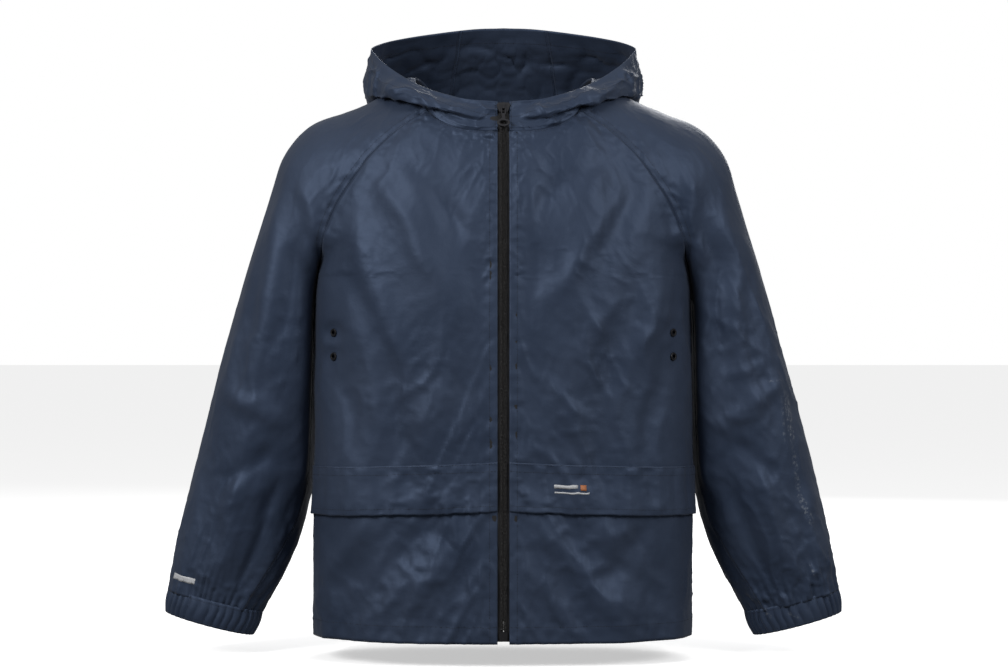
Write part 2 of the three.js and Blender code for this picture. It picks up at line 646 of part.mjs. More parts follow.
// A strip along the zip between two distances from its middle and two heights.
function zipStrip(inner, outer, top, bottom) {
  const heights = [top, ...edgeLine.map((p) => p.z).filter((z) => z < top - 3 && z > bottom + 3), bottom];
  return heights.map((z) => {
    const at = edgeAt(z);
    const slope = edgeAt(z - 2).sub(edgeAt(z + 2)).normalize();
    const normal = slope.cross(vector(1, 0, 0)).normalize();
    return [inner, outer].map((x) => clothPoint(at.clone().setX(x), normal));
  });
}

const boxTop = ZIP.bottom + ZIP_BOX.high;
const tapeLift = -CLOTH - 0.4;
const coilLift = tapeLift + 0.3 + ZIP.coilWall;
addPair("zip_tape", zipStrip(ZIP.coilIn, ZIP.tape, ZIP.top, ZIP.bottom), TAPE, { wall: ZIP.tapeWall, lift: tapeLift });
addPair("zip_coil", zipStrip(ZIP.coilIn, ZIP.coilOut, ZIP.top, boxTop + 0.4), COIL, { wall: ZIP.coilWall, lift: coilLift });

// A flat outline in local X and Z, `thick` along -Y from `y`.
function plate(points, y, thick) {
  const shape = new THREE.Shape(points.map(([x, z]) => new THREE.Vector2(x, z)));
  const geometry = new THREE.ExtrudeGeometry(shape, { depth: thick, bevelEnabled: false });
  return geometry.rotateX(Math.PI / 2).translate(0, y, 0);
}

const block = (wide, y0, y1, z0, z1) =>
  new THREE.BoxGeometry(wide, Math.abs(y1 - y0), Math.abs(z1 - z0)).translate(0, (y0 + y1) / 2, (z0 + z1) / 2);
const oval = (wide, high, z, count = 20) =>
  range(count).slice(1).map((t) => [
    (wide / 2) * Math.cos(2 * Math.PI * t),
    z + (high / 2) * Math.sin(2 * Math.PI * t),
  ]);

// The slider's frame: at the zip's top, its Y into the jacket and its Z up along the zip.
const sliderFrame = new THREE.Group();
const zipTop = edgeAt(ZIP.top);
const zipSlope = edgeAt(ZIP.top - 20).sub(zipTop).normalize();
sliderFrame.position.copy(zipTop);
sliderFrame.rotation.x = Math.atan2(zipSlope.y, -zipSlope.z);
jacket.add(sliderFrame);

const faceY = -coilLift - SLIDER.clear; // the front plate's inner face
const backY = -tapeLift + ZIP.tapeWall + SLIDER.clear; // the back plate's inner face
const plateY = faceY - SLIDER.plate; // the front plate's outer face
const sliderTop = 4;
const sliderBottom = sliderTop - SLIDER.high;
const outline = [
  [-SLIDER.bottomWide / 2, sliderBottom],
  [SLIDER.bottomWide / 2, sliderBottom],
  [SLIDER.topWide / 2, sliderTop - 3],
  [SLIDER.topWide / 2 - 2, sliderTop],
  [2 - SLIDER.topWide / 2, sliderTop],
  [-SLIDER.topWide / 2, sliderTop - 3],
];
const crownTop = sliderTop - 1.5;
const crownBottom = crownTop - CROWN.high;
const crownY = plateY - CROWN.tunnel - CROWN.bar;
const slider = joined(
  plate(outline, faceY, SLIDER.plate),
  plate(outline, backY + SLIDER.plate, SLIDER.plate),
  block(4.5, faceY - 0.2, backY + 0.2, 0.6, sliderTop - 0.6),
  block(CROWN.wide, plateY + 0.3, crownY, crownTop - CROWN.leg, crownTop),
  block(CROWN.wide, plateY + 0.3, crownY, crownBottom, crownBottom + CROWN.leg),
  block(CROWN.wide, crownY, crownY + CROWN.bar, crownBottom, crownTop),
);
add("zip_slider", slider, METAL, sliderFrame);

// The pull hangs from its cross bar in the crown's tunnel.
const hinge = { y: plateY - CROWN.tunnel / 2, z: crownBottom + CROWN.leg + PULL.wall / 2 + 0.3 };
const pullWide = PULL.slotWide + 2 * PULL.legWide;
const slotBottom = -PULL.wall / 2 - PULL.slotHigh;
const ringMiddle = -PULL.long + PULL.ringHigh / 2;
const pullBody = [
  [-pullWide / 2, 0],
  [-pullWide / 2, slotBottom],
  [-PULL.neckWide / 2, slotBottom - 2],
  [-PULL.neckWide / 2, ringMiddle + PULL.ringHigh / 2 - 1],
  [PULL.neckWide / 2, ringMiddle + PULL.ringHigh / 2 - 1],
  [PULL.neckWide / 2, slotBottom - 2],
  [pullWide / 2, slotBottom],
  [pullWide / 2, 0],
];
const slot = [
  [-PULL.slotWide / 2, -PULL.wall / 2],
  [PULL.slotWide / 2, -PULL.wall / 2],
  [PULL.slotWide / 2, slotBottom],
  [-PULL.slotWide / 2, slotBottom],
];
const halfWall = PULL.wall / 2;
const bar = new THREE.CylinderGeometry(halfWall, halfWall, pullWide, 16).rotateZ(Math.PI / 2);
const ring = (wide, high, thick) => plate(oval(wide, high, ringMiddle), thick / 2, thick);
const ringHole = solid(ring(PULL.ringWide - 2 * PULL.ringBar, PULL.ringHigh - 2 * PULL.ringBar, 3 * PULL.wall));
const pull = geometryOf(
  solid(plate(pullBody, halfWall, PULL.wall))
    .subtract(solid(plate(slot, 3 * halfWall, 3 * PULL.wall)))
    .add(solid(bar))
    .add(solid(ring(PULL.ringWide, PULL.ringHigh, PULL.wall)).subtract(ringHole)),
);
add("zip_pull", pull, METAL, sliderFrame).position.set(0, hinge.y, hinge.z);

// The box and pin that close the zip's foot, on the tapes' fronts.
const foot = edgeAt(ZIP.bottom + ZIP_BOX.high / 2);
const box = block(ZIP_BOX.wide, foot.y - tapeLift - 0.3, foot.y - coilLift - 0.4, ZIP.bottom + 0.5, boxTop);
add("zip_box", box, METAL);

export default jacket;
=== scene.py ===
"""A hooded windbreaker jacket with raglan sleeves, filled out as if worn, on a pale studio floor."""

import logging
import math
from collections.abc import Callable
from dataclasses import dataclass, field
from enum import Enum

import bpy
import numpy as np
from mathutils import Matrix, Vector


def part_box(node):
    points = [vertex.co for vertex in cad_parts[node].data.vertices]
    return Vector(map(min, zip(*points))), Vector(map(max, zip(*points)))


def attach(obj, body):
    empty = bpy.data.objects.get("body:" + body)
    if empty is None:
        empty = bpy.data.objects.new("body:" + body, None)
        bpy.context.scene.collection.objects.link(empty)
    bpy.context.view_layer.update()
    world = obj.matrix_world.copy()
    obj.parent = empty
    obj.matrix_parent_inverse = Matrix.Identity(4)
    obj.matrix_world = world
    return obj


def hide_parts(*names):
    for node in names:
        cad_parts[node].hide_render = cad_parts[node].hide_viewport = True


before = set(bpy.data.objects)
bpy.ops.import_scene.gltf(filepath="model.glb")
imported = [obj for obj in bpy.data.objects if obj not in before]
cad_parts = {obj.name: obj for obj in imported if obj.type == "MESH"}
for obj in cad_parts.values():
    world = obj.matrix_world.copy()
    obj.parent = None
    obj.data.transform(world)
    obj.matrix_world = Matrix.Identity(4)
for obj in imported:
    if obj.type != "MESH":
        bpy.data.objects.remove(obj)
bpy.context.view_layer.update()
MM = 0.001
log = logging.getLogger("jacket")
Array = np.ndarray
Material = bpy.types.Material
Tree = bpy.types.NodeTree
Socket = bpy.types.NodeSocket


class Side(Enum):
    """Which of two mirror-image pieces, as the sign of X."""

    LEFT = 1.0
    RIGHT = -1.0


class Face(Enum):
    """The front or the back of the body, as the sign of Y."""

    FRONT = -1.0
    BACK = 1.0


# ---- Smooth tables ----


def ease(t: Array) -> Array:
    """Goes smoothly from 0 to 1 as t does."""
    t = np.clip(t, 0.0, 1.0)
    return t * t * (3.0 - 2.0 * t)


def row_at(rows: Array, at: Array) -> Array:
    """Reads a table on a smooth curve through its rows.

    Args:
        rows: One row a place, its first column the place, rising.
        at: The places wanted.

    Returns:
        The other columns at each place, on a last axis.
    """
    key, values = rows[:, 0], rows[:, 1:]
    before = np.vstack([values[:1], values[:-1]])
    after = np.vstack([values[1:], values[-1:]])
    key_before = np.concatenate([key[:1], key[:-1]])
    key_after = np.concatenate([key[1:], key[-1:]])
    slope = (after - before) / (key_after - key_before)[:, None]
    i = np.clip(np.searchsorted(key, at, side="right") - 1, 0, len(key) - 2)
    span = key[i + 1] - key[i]
    t = np.clip((at - key[i]) / span, 0.0, 1.0)[..., None]
    span = span[..., None]
    return (
        values[i] * (1 + 2 * t) * (1 - t) ** 2
        + slope[i] * span * t * (1 - t) ** 2
        + values[i + 1] * t * t * (3 - 2 * t)
        + slope[i + 1] * span * t * t * (t - 1)
    )


def soft_min(a: Array, b: Array, reach: Array) -> Array:
    """The lower of two fields, rounded where they are within reach of each other."""
    h = np.maximum(reach - np.abs(a - b), 0.0) / reach
    return np.minimum(a, b) - h * h * reach / 4.0


# ---- Noise ----


def lattice(cells: Array, seed: int) -> Array:
    """A fixed value from -1 to 1 for each whole-number cell.

    Args:
        cells: Whole-number cells, with their three numbers on the last axis.
        seed: Which set of values to read.

    Returns:
        The cells' values.
    """
    value = seed * 144665
    for axis, prime in enumerate((374761393, 668265263, 2147483647)):
        value = value + cells[..., axis] * prime
    value = (value ^ (value >> 13)) * 1274126177
    value = value ^ (value >> 16)
    return (value & 0xFFFFF) / float(0x7FFFF) - 1.0


def noise(points: Array, seed: int = 0) -> Array:
    """Smooth noise of about -1 to 1 with cells one unit wide.

    Args:
        points: Where to read it, in cells.
        seed: Which noise to read.

    Returns:
        The noise at each point.
    """
    base = np.floor(points).astype(np.int64)
    f = points - base
    f = f * f * f * (f * (f * 6 - 15) + 10)
    total = np.zeros(points.shape[:-1])
    for corner in range(8):
        step = np.array([corner & 1, corner >> 1 & 1, corner >> 2 & 1])
        weight = np.prod(np.where(step, f, 1 - f), axis=-1)
        total += weight * lattice(base + step, seed)
    return total


def creases(points: Array, seed: int = 0) -> Array:
    """Sharp-crested soft-sided ridges from 0 to 1, as crumpled coated cloth has.

    Args:
        points: Where to read them, in cells.
        seed: Which set to read.

    Returns:
        The ridges' height at each point.
    """
    warp = np.stack([noise(points * 0.9, seed + k) for k in (7, 8, 9)], -1)
    first = 1.0 - np.abs(noise(points + 0.55 * warp, seed))
    second = 1.0 - np.abs(noise(points * 2.1 + 0.8 * warp, seed + 3))
    return 0.7 * first**5 + 0.3 * second**4


# ---- The form ----


@dataclass(frozen=True)
class Form:
    """The outer face of the filled-out jacket, in millimetres, as fields that are negative inside."""

    hem_z: float = -656.0
    underarm_y: float = 15.0
    underarm_z: float = -238.0
    side_seam_y: float = 6.0
    zip_half: float = 6.8
    arm_clearance: float = 3.0
    hood_clearance: float = 3.0
    # height, half width, depth to the front, depth to the back, squareness
    body: Array = field(default_factory=lambda: np.array([
        [-680, 227, 124, 114, 2.5], [-500, 227, 126, 114, 2.5], [-380, 225, 127, 115, 2.5],
        [-230, 222, 125, 116, 2.5], [-150, 212, 119, 115, 2.4], [-100, 192, 110, 110, 2.3],
        [-60, 160, 97, 102, 2.25], [-30, 122, 84, 92, 2.2], [0, 88, 70, 80, 2.2], [40, 60, 52, 62, 2.2]]))
    # outer edge x and z, lean of its normal in degrees, half width, half depth, how far back
    arm: Array = field(default_factory=lambda: np.array([
        [60, 14, 71, 50, 50, 2], [120, -8, 70, 58, 56, 2], [182, -30, 69, 66, 62, 4],
        [231, -49, 58, 72, 68, 8], [260, -78, 36, 76, 73, 11], [278, -122, 22, 77, 77, 14],
        [306, -210, 17, 77, 80, 18],
        [330, -290, 16, 78, 78, 21], [356, -386, 15, 78, 70, 24], [379, -480, 15, 75, 60, 24],
        [395, -552, 15, 67, 50, 22], [404, -606, 15, 58, 38, 20]], dtype=float))
    # raglan seam: front x or y, front z, back x or y, back z, lean, into the sleeve, chest z, spine z
    raglan: Array = field(default_factory=lambda: np.array([
        [88, -37, 80, -16, 60, 6, -63, -14], [104, -46, 97, -30, 62, 5, -72, -28],
        [122, -58, 116, -47, 63, 4, -82, -45], [140, -74, 136, -66, 62, 2, -95, -64],
        [157, -91, 155, -87, 54, 3, -110, -85], [172, -111, 172, -110, 44, 6, -126, -107],
        [190, -137, 189, -137, 34, 14, -148, -135], [203, -162, 202, -162, 27, 25, -170, -161],
        [212, -187, 211, -187, 22, 36, -192, -187], [-40, -208, 68, -208, 19, 40, -211, -208],
        [-14, -226, 44, -226, 18, 42, -227, -226], [15, -238, 15, -238, 17, 43, -240, -238]], dtype=float))
    hidden_rows: int = 3
    # round from front to back, then under, fold, side and rim points
    hood: Array = field(default_factory=lambda: np.array([
        [0, 6.8, -94, -54, 6.8, -91, -46, 6.8, -88, -38, 6.8, -84, -29],
        [0.15, 40, -91, -52, 43, -98, -44, 47, -93, -34, 50, -79, -24],
        [0.3, 95, -66, -27, 103, -82, -31, 108, -74, -14, 100, -56, -5],
        [0.43, 118, -22, -2, 142, -30, -21, 148, -30, -4, 135, -26, 18],
        [0.53, 125, 14, 2, 158, 16, -19, 162, 14, 8, 155, 8, 38],
        [0.63, 120, 60, -6, 154, 76, -32, 169, 66, 4, 158, 36, 50],
        [0.74, 92, 98, -26, 122, 132, -62, 140, 138, 0, 124, 86, 66],
        [0.85, 46, 112, -38, 56, 150, -86, 62, 178, -14, 48, 122, 81],
        [1, 0, 114, -42, 0, 152, -92, 0, 186, -20, 0, 128, 84]], dtype=float))

    def arm_middle(self) -> Array:
        """The arm's middle line as a table: number, x, z, lean, half width, half depth, y.

        Returns:
            The table, a row for each row of the arm.
        """
        lean = np.radians(self.arm[:, 2])
        table = np.column_stack([np.arange(len(self.arm), dtype=float), self.arm])
        table[:, 1] -= np.cos(lean) * self.arm[:, 3]
        table[:, 2] -= np.sin(lean) * self.arm[:, 3]
        return table

    def body_field(self, p: Array) -> Array:
        """The body without its arms.

        Args:
            p: Points, in millimetres.

        Returns:
            The field at each point.
        """
        cut = row_at(self.body, p[..., 2])
        half, square = cut[..., 0], cut[..., 3]
        deep = np.where(p[..., 1] < 0, cut[..., 1], cut[..., 2])
        q = (np.abs(p[..., 0]) / half) ** square + (np.abs(p[..., 1]) / deep) ** square
        return (q ** (1 / square) - 1) * np.minimum(half, deep)

    def arm_field(self, p: Array) -> Array:
        """The two arms.

        Args:
            p: Points, in millimetres.

        Returns:
            The field at each point.
        """
        middle = self.arm_middle()
        steps = row_at(middle, np.linspace(0, len(self.arm) - 1, 5 * (len(self.arm) - 1) + 1))
        x, y, z = np.abs(p[..., 0]), p[..., 1], p[..., 2]
        nearest = np.full(x.shape, np.inf)
        result = np.zeros(x.shape)
        for a, b in zip(steps[:-1], steps[1:]):
            dx, dz = b[0] - a[0], b[1] - a[1]
            t = np.clip(((x - a[0]) * dx + (z - a[1]) * dz) / (dx * dx + dz * dz), 0, 1)
            across = np.hypot(x - a[0] - t * dx, z - a[1] - t * dz)
            half, deep, back = (a[k] + (b[k] - a[k]) * t for k in (3, 4, 5))
            value = (np.hypot(across / half, (y - back) / deep) - 1) * np.minimum(half, deep)
            closer = across < nearest
            nearest = np.where(closer, across, nearest)
            result = np.where(closer, value, result)
        return result

    def jacket_field(self, p: Array) -> Array:
        """Body and arms in one."""
        reach = 10 + 45 * ease((p[..., 2] + 205) / 120)
        return soft_min(self.body_field(p), self.arm_field(p), reach)

    def sleeve_field(self, p: Array) -> Array:
        """A hanging sleeve, flat beside the body.

        Args:
            p: Points, in millimetres.

        Returns:
            The field at each point.
        """
        drop = ease((self.underarm_z + 25 - p[..., 2]) / 60)
        beside = 1.6 + self.arm_clearance * drop - self.body_field(p)
        return -soft_min(-self.arm_field(p), -beside, np.full(p.shape[:-1], 12.0))

    @staticmethod
    def leave(value: Callable, start: Array, direction: Array) -> Array:
        """The points where rays from inside leave a field.

        Args:
            value: The field, a function of points.
            start: Where the rays start.
            direction: Their unit directions.

        Returns:
            The points on the field's zero.
        """
        near = np.zeros(start.shape[:-1])
        far = near.copy()
        inside = np.ones(near.shape, dtype=bool)
        for _ in range(50):
            ahead = far + 6.0
            out = value(start + direction * ahead[..., None]) >= 0
            near = np.where(inside & ~out, ahead, near)
            far = np.where(inside, ahead, far)
            inside &= ~out
            if not inside.any():
                break
        for _ in range(14):
            middle = (near + far) / 2
            out = value(start + direction * middle[..., None]) >= 0
            near, far = np.where(out, near, middle), np.where(out, middle, far)
        return start + direction * near[..., None]

    def seam(self, face: Face) -> Array:
        """The raglan seam's points on one face, from the neck to the underarm.

        Args:
            face: The front or the back.

        Returns:
            Its points, from the neck down.
        """
        front = face is Face.FRONT
        place, z = self.raglan[:, 0 if front else 2], self.raglan[:, 1 if front else 3]
        seen = len(place) - self.hidden_rows
        start = np.column_stack([place[:seen], np.full(seen, 8.0), z[:seen]])
        shown = self.leave(self.jacket_field, start, np.tile([0.0, face.value, 0.0], (seen, 1)))
        y, z = place[seen:], z[seen:]
        cut = row_at(self.body, z)
        deep = np.where(y < 0, cut[:, 1], cut[:, 2])
        x = cut[:, 0] * (1 - (np.abs(y) / deep) ** cut[:, 3]) ** (1 / cut[:, 3])
        return np.vstack([shown, np.column_stack([x, y, z])])

    def body_grid(self, face: Face, columns: int, rows_below: int) -> Array:
        """Half a body panel, from its middle to its seams and from the neck to the hem.

        Args:
            face: The front or the back.
            columns: Steps from the middle to the seam.
            rows_below: Steps from the underarm to the hem.

        Returns:
            The panel's grid.
        """
        seam = self.seam(face)
        u = np.linspace(0, 1, columns + 1)
        middle_z = self.raglan[:, 6 if face is Face.FRONT else 7]
        rows = []
        for k, end in enumerate(seam):
            bend = 3.2 - 1.7 * k / (len(seam) - 1)
            z = middle_z[k] + (end[2] - middle_z[k]) * u**bend
            hidden = k >= len(seam) - self.hidden_rows
            value = self.body_field if hidden else self.jacket_field
            row = self._level(face, u, z, math.atan2(end[1], end[0]), value)
            row[-1] = end
            rows.append(row)
        for t in np.linspace(0, 1, rows_below + 1)[1:]:
            z = self.underarm_z + (self.hem_z - self.underarm_z) * t
            y = self.underarm_y + (self.side_seam_y - self.underarm_y) * t
            half = row_at(self.body, np.array([z]))[0, 0]
            rows.append(self._level(face, u, np.full(u.shape, z), math.atan2(y, half), self.body_field))
        return np.array(rows)

    def _level(self, face: Face, u: Array, z: Array, last: float, value: Callable) -> Array:
        """One row of a body panel, by rays from the upright axis.

        Args:
            face: The front or the back.
            u: Each point's share of the way from the middle to the seam.
            z: Each point's height.
            last: The seam's angle round the axis.
            value: The field whose zero is the cloth.

        Returns:
            The row's points.
        """
        deep = row_at(self.body, z)[:, 1]
        middle = np.arctan2(-deep, self.zip_half) if face is Face.FRONT else np.full(u.shape, math.pi / 2)
        angle = middle + (last - middle) * u
        start = np.column_stack([np.zeros_like(z), np.zeros_like(z), z])
        return self.leave(value, start, np.column_stack([np.cos(angle), np.sin(angle), np.zeros_like(z)]))

    def sleeve_grid(self, sides: int, ribs_below: int) -> Array:
        """The left sleeve, a rib a row from the neck to the cuff, round from the front seam to the back.

        Args:
            sides: Steps round each rib.
            ribs_below: Ribs between the underarm and the cuff.

        Returns:
            The sleeve's grid.
        """
        front, back = self.seam(Face.FRONT), self.seam(Face.BACK)
        middle = self.arm_middle()
        t = np.linspace(0, 1, sides + 1)
        ribs = []
        last = len(self.raglan) - 1
        for k, row in enumerate(self.raglan):
            lean = math.radians(row[4])
            out = np.array([math.cos(lean), 0, math.sin(lean)])
            y = row_at(middle, np.array([1 + 5 * k / last]))[0, 5]
            hidden = k > last - self.hidden_rows
            aside = np.array([1.5 if hidden else 0.0, 0, 0])
            ends = [front[k] + aside, back[k] + aside]
            centres = [np.array([e[0], y, e[2]]) + out * row[5] for e in ends]
            first = math.atan2(ends[0][1] - y, -row[5]) - (2 * math.pi if ends[0][1] >= y else 0)
            final = math.atan2(ends[1][1] - y, -row[5]) + (2 * math.pi if ends[1][1] < y else 0)
            value = self.sleeve_field if hidden else self.jacket_field
            rib = self._rib(out, centres, first + (final - first) * t, value)
            rib[0], rib[-1] = ends
            ribs.append(rib)
        for s in np.linspace(0, 1, ribs_below + 1)[1:]:
            row = row_at(middle, np.array([6.15 + (len(self.arm) - 1 - 6.15) * s]))[0]
            lean = math.radians(row[2])
            out = np.array([math.cos(lean), 0, math.sin(lean)])
            centre = np.array([row[0], row[5], row[1]]) + out * 34 * (1 - ease(s / 0.7))
            start = -math.pi + math.radians(38) * ease(s)
            ribs.append(self._rib(out, [centre, centre], start + 2 * math.pi * t, self.sleeve_field))
        return np.array(ribs)

    def _rib(self, out: Array, centres: list, angles: Array, value: Callable) -> Array:
        """One rib of the sleeve, by rays from its middle.

        Args:
            out: The direction away from the body.
            centres: Where its first and last rays start.
            angles: The rays' angles from that direction.
            value: The field whose zero is the cloth.

        Returns:
            The rib's points.
        """
        t = np.linspace(0, 1, len(angles))[:, None]
        start = centres[0] * (1 - t) + centres[1] * t
        direction = np.cos(angles)[:, None] * out + np.sin(angles)[:, None] * np.array([0, 1.0, 0])
        return self.leave(value, start, direction)

    def hood_grid(self, neck: Array, rows: int) -> Array:
        """Half the hood, from its rim down to the neck seam, a column for each point of that seam.

        Args:
            neck: The neck seam's points from the zip to the back.
            rows: Steps from the rim to the seam.

        Returns:
            The grid, its first row at the rim.
        """
        length = np.concatenate([[0], np.cumsum(np.linalg.norm(np.diff(neck, axis=0), axis=1))])
        points = row_at(self.hood, length / length[-1]).reshape(len(neck), 4, 3)
        path = np.concatenate([neck[:, None], points], axis=1)
        grid = np.array([even(catmull(column, 12), rows + 1) for column in path])
        for _ in range(4):
            lift = np.maximum(self.hood_clearance - self.jacket_field(grid), 0)
            lift[:, 0] = 0
            grid = grid + self.gradient(grid) * lift[..., None]
        return grid.transpose(1, 0, 2)[::-1]

    def gradient(self, p: Array) -> Array:
        """The direction out of the jacket at points near its surface.

        Args:
            p: Points, in millimetres.

        Returns:
            Unit directions.
        """
        steps = np.eye(3) * 1.5
        slope = np.stack([self.jacket_field(p + s) - self.jacket_field(p - s) for s in steps], -1)
        return slope / np.linalg.norm(slope, axis=-1, keepdims=True)


def catmull(points: Array, steps: int) -> Array:
    """A smooth curve or sheet through points along their first axis, with so many steps between them.

    Args:
        points: What the curve or sheet goes through.
        steps: How many steps lie between two of them.

    Returns:
        The points with those between them.
    """
    padded = np.concatenate([2 * points[:1] - points[1:2], points, 2 * points[-1:] - points[-2:-1]])
    t = np.linspace(0, 1, steps, endpoint=False).reshape((-1,) + (1,) * (points.ndim - 1))
    pieces = []
    for i in range(1, len(points)):
        a, b, c, d = padded[i - 1], padded[i], padded[i + 1], padded[i + 2]
        square, cube = 2 * a - 5 * b + 4 * c - d, 3 * b - a - 3 * c + d
        pieces.append(0.5 * (2 * b + (c - a) * t + square * t**2 + cube * t**3))
    return np.concatenate(pieces + [points[-1:]])


def read_along(length: Array, values: Array, at: Array) -> Array:
    """Three-part values at distances along a line, between those at its points."""
    return np.column_stack([np.interp(at, length, values[:, k]) for k in range(3)])


def even(curve: Array, count: int) -> Array:
    """Points evenly spaced along a curve.

    Args:
        curve: The curve's points.
        count: How many points are wanted.

    Returns:
        The points.
    """
    length = np.concatenate([[0], np.cumsum(np.linalg.norm(np.diff(curve, axis=0), axis=1))])
    return read_along(length, curve, np.linspace(0, length[-1], count))


# ---- Finishes ----


@dataclass(frozen=True)
class Scuff:
    """A faint pale rub along a line seen from the front, in millimetres."""

    x0: float
    z0: float
    x1: float
    z1: float
    wide: float
    strength: float


SCUFFS = [
    Scuff(302, -356, 372, -349, 1.6, 0.55), Scuff(336, -366, 345, -432, 5.0, 0.85),
    Scuff(345, -432, 352, -492, 4.0, 0.6),
    Scuff(352, -488, 368, -526, 5.5, 0.9), Scuff(330, -372, 334, -428, 2.2, 0.5),
    Scuff(366, -574, 370, -584, 2.0, 0.8),
    Scuff(312, -628, 318, -636, 3.0, 0.8), Scuff(342, -632, 350, -636, 2.5, 0.7),
    Scuff(362, -415, 366, -425, 2.0, 0.7),
]


@dataclass(frozen=True)
class ClothFinish:
    """Coated polyester: a fine plain weave under a semi-gloss coat, with crinkles and faint wear."""

    name: str
    colour: tuple = (0.0190, 0.0285, 0.0520)
    lighter: tuple = (0.0310, 0.0430, 0.0720)
    worn: tuple = (0.150, 0.165, 0.190)
    tint: tuple = (0.50, 0.66, 1.0, 1.0)
    roughness: float = 0.5
    specular: float = 0.45
    weave_size: float = 1500.0
    crinkle_size: float = 34.0

    def build(self) -> Material:
        """Makes the material.

        Returns:
            The cloth's material.
        """
        material, tree, shader = new_material(self.name)
        place = tree.nodes.new("ShaderNodeTexCoord").outputs["Object"]
        patches = texture(tree, place, 9.0, 4.0, 0.6)
        colour = mixed(tree, patches, self.colour, self.lighter, 0.30, 0.72)
        tree.links.new(self.scuffed(tree, place, colour), shader.inputs["Base Color"])
        rough = tree.nodes.new("ShaderNodeMapRange")
        rough.inputs["To Min"].default_value = self.roughness - 0.06
        rough.inputs["To Max"].default_value = self.roughness + 0.10
        tree.links.new(patches, rough.inputs["Value"])
        tree.links.new(rough.outputs["Result"], shader.inputs["Roughness"])
        shader.inputs["Sheen Weight"].default_value = 0.05
        shader.inputs["Specular IOR Level"].default_value = self.specular
        shader.inputs["Specular Tint"].default_value = self.tint
        weave = tree.nodes.new("ShaderNodeTexWave")
        weave.inputs["Scale"].default_value = self.weave_size
        tree.links.new(place, weave.inputs["Vector"])
        crinkle = texture(tree, place, self.crinkle_size, 4.0, 0.5, ridged=True)
        small = texture(tree, place, 3.2 * self.crinkle_size, 3.0, 0.5)
        fine = bump(tree, weave.outputs["Fac"], 0.05, 0.00004)
        middle = bump(tree, small, 0.35, 0.0009, fine)
        tree.links.new(bump(tree, crinkle, 0.30, 0.0009, middle), shader.inputs["Normal"])
        return material

    def scuffed(self, tree: Tree, place: Socket, colour: Socket) -> Socket:
        """Lays the scuffs over the cloth's colour.

        Args:
            tree: The material's node tree.
            place: The object's coordinates.
            colour: The cloth's colour.

        Returns:
            The colour with its scuffs.
        """
        broken = texture(tree, place, 260.0, 5.0, 0.7)
        for scuff in SCUFFS:
            dx, dz = (scuff.x1 - scuff.x0) * MM, (scuff.z1 - scuff.z0) * MM
            long = math.hypot(dx, dz)
            middle = ((scuff.x0 + scuff.x1) / 2 * MM, 0, (scuff.z0 + scuff.z1) / 2 * MM)
            along = fade(tree, place, (dx / long, 0, dz / long), middle, long / 2 + 0.004)
            across = fade(tree, place, (-dz / long, 0, dx / long), middle, scuff.wide * MM)
            ahead = fade(tree, place, (0, 1, 0), (0, -0.1, 0), 0.13)
            mask = product(tree, product(tree, along, across), ahead)
            speckle = tree.nodes.new("ShaderNodeMapRange")
            speckle.inputs["From Min"].default_value = 0.49
            speckle.inputs["From Max"].default_value = 0.64
            speckle.inputs["To Max"].default_value = scuff.strength
            tree.links.new(broken, speckle.inputs["Value"])
            share = product(tree, mask, speckle.outputs["Result"])
            mix = tree.nodes.new("ShaderNodeMix")
            mix.data_type = "RGBA"
            tree.links.new(share, mix.inputs["Factor"])
            tree.links.new(colour, mix.inputs[6])
            mix.inputs[7].default_value = (*self.worn, 1)
            colour = mix.outputs[2]
        return colour


@dataclass(frozen=True)
class PlainFinish:
    """A hard or woven small part: one colour with fine grain."""

    name: str
    colour: tuple
    roughness: float
    metallic: float = 0.0
    grain: float = 900.0

    def build(self) -> Material:
        """Makes the material.

        Returns:
            The part's material.
        """
        material, tree, shader = new_material(self.name)
        place = tree.nodes.new("ShaderNodeTexCoord").outputs["Object"]
        grain = texture(tree, place, self.grain, 3.0, 0.6)
        darker = tuple(c * 0.7 for c in self.colour)
        colour = mixed(tree, grain, darker, self.colour, 0.3, 0.7)
        tree.links.new(colour, shader.inputs["Base Color"])
        shader.inputs["Roughness"].default_value = self.roughness
        shader.inputs["Metallic"].default_value = self.metallic
        tree.links.new(bump(tree, grain, 0.2, 0.0002), shader.inputs["Normal"])
        return material


def new_material(name: str) -> tuple:
    """Makes a node material.

    Args:
        name: The material's name.

    Returns:
        The material, its node tree and its shader.
    """
    material = bpy.data.materials.new(name)
    material.use_nodes = True
    return material, material.node_tree, material.node_tree.nodes["Principled BSDF"]


def texture(
    tree: Tree, place: Socket, scale: float, detail: float, roughness: float, ridged: bool = False
) -> Socket:
    """A noise texture's value on the object's own coordinates.

    Args:
        tree: The material's node tree.
        place: The object's coordinates.
        scale: How fine it is.
        detail: How many octaves it has.
        roughness: How strong the finer octaves are.
        ridged: Whether it has sharp ridges.

    Returns:
        The texture's value.
    """
    made = tree.nodes.new("ShaderNodeTexNoise")
    if ridged:
        made.noise_type = "RIDGED_MULTIFRACTAL"
    made.inputs["Scale"].default_value = scale
    made.inputs["Detail"].default_value = detail
    made.inputs["Roughness"].default_value = roughness
    tree.links.new(place, made.inputs["Vector"])
    return made.outputs["Fac"]


def product(tree: Tree, first: Socket, second: Socket) -> Socket:
    """Multiplies two values.

    Args:
        tree: The material's node tree.
        first: One value.
        second: The other.

    Returns:
        Their product.
    """
    made = tree.nodes.new("ShaderNodeMath")
    made.operation = "MULTIPLY"
    tree.links.new(first, made.inputs[0])
    tree.links.new(second, made.inputs[1])
    return made.outputs["Value"]


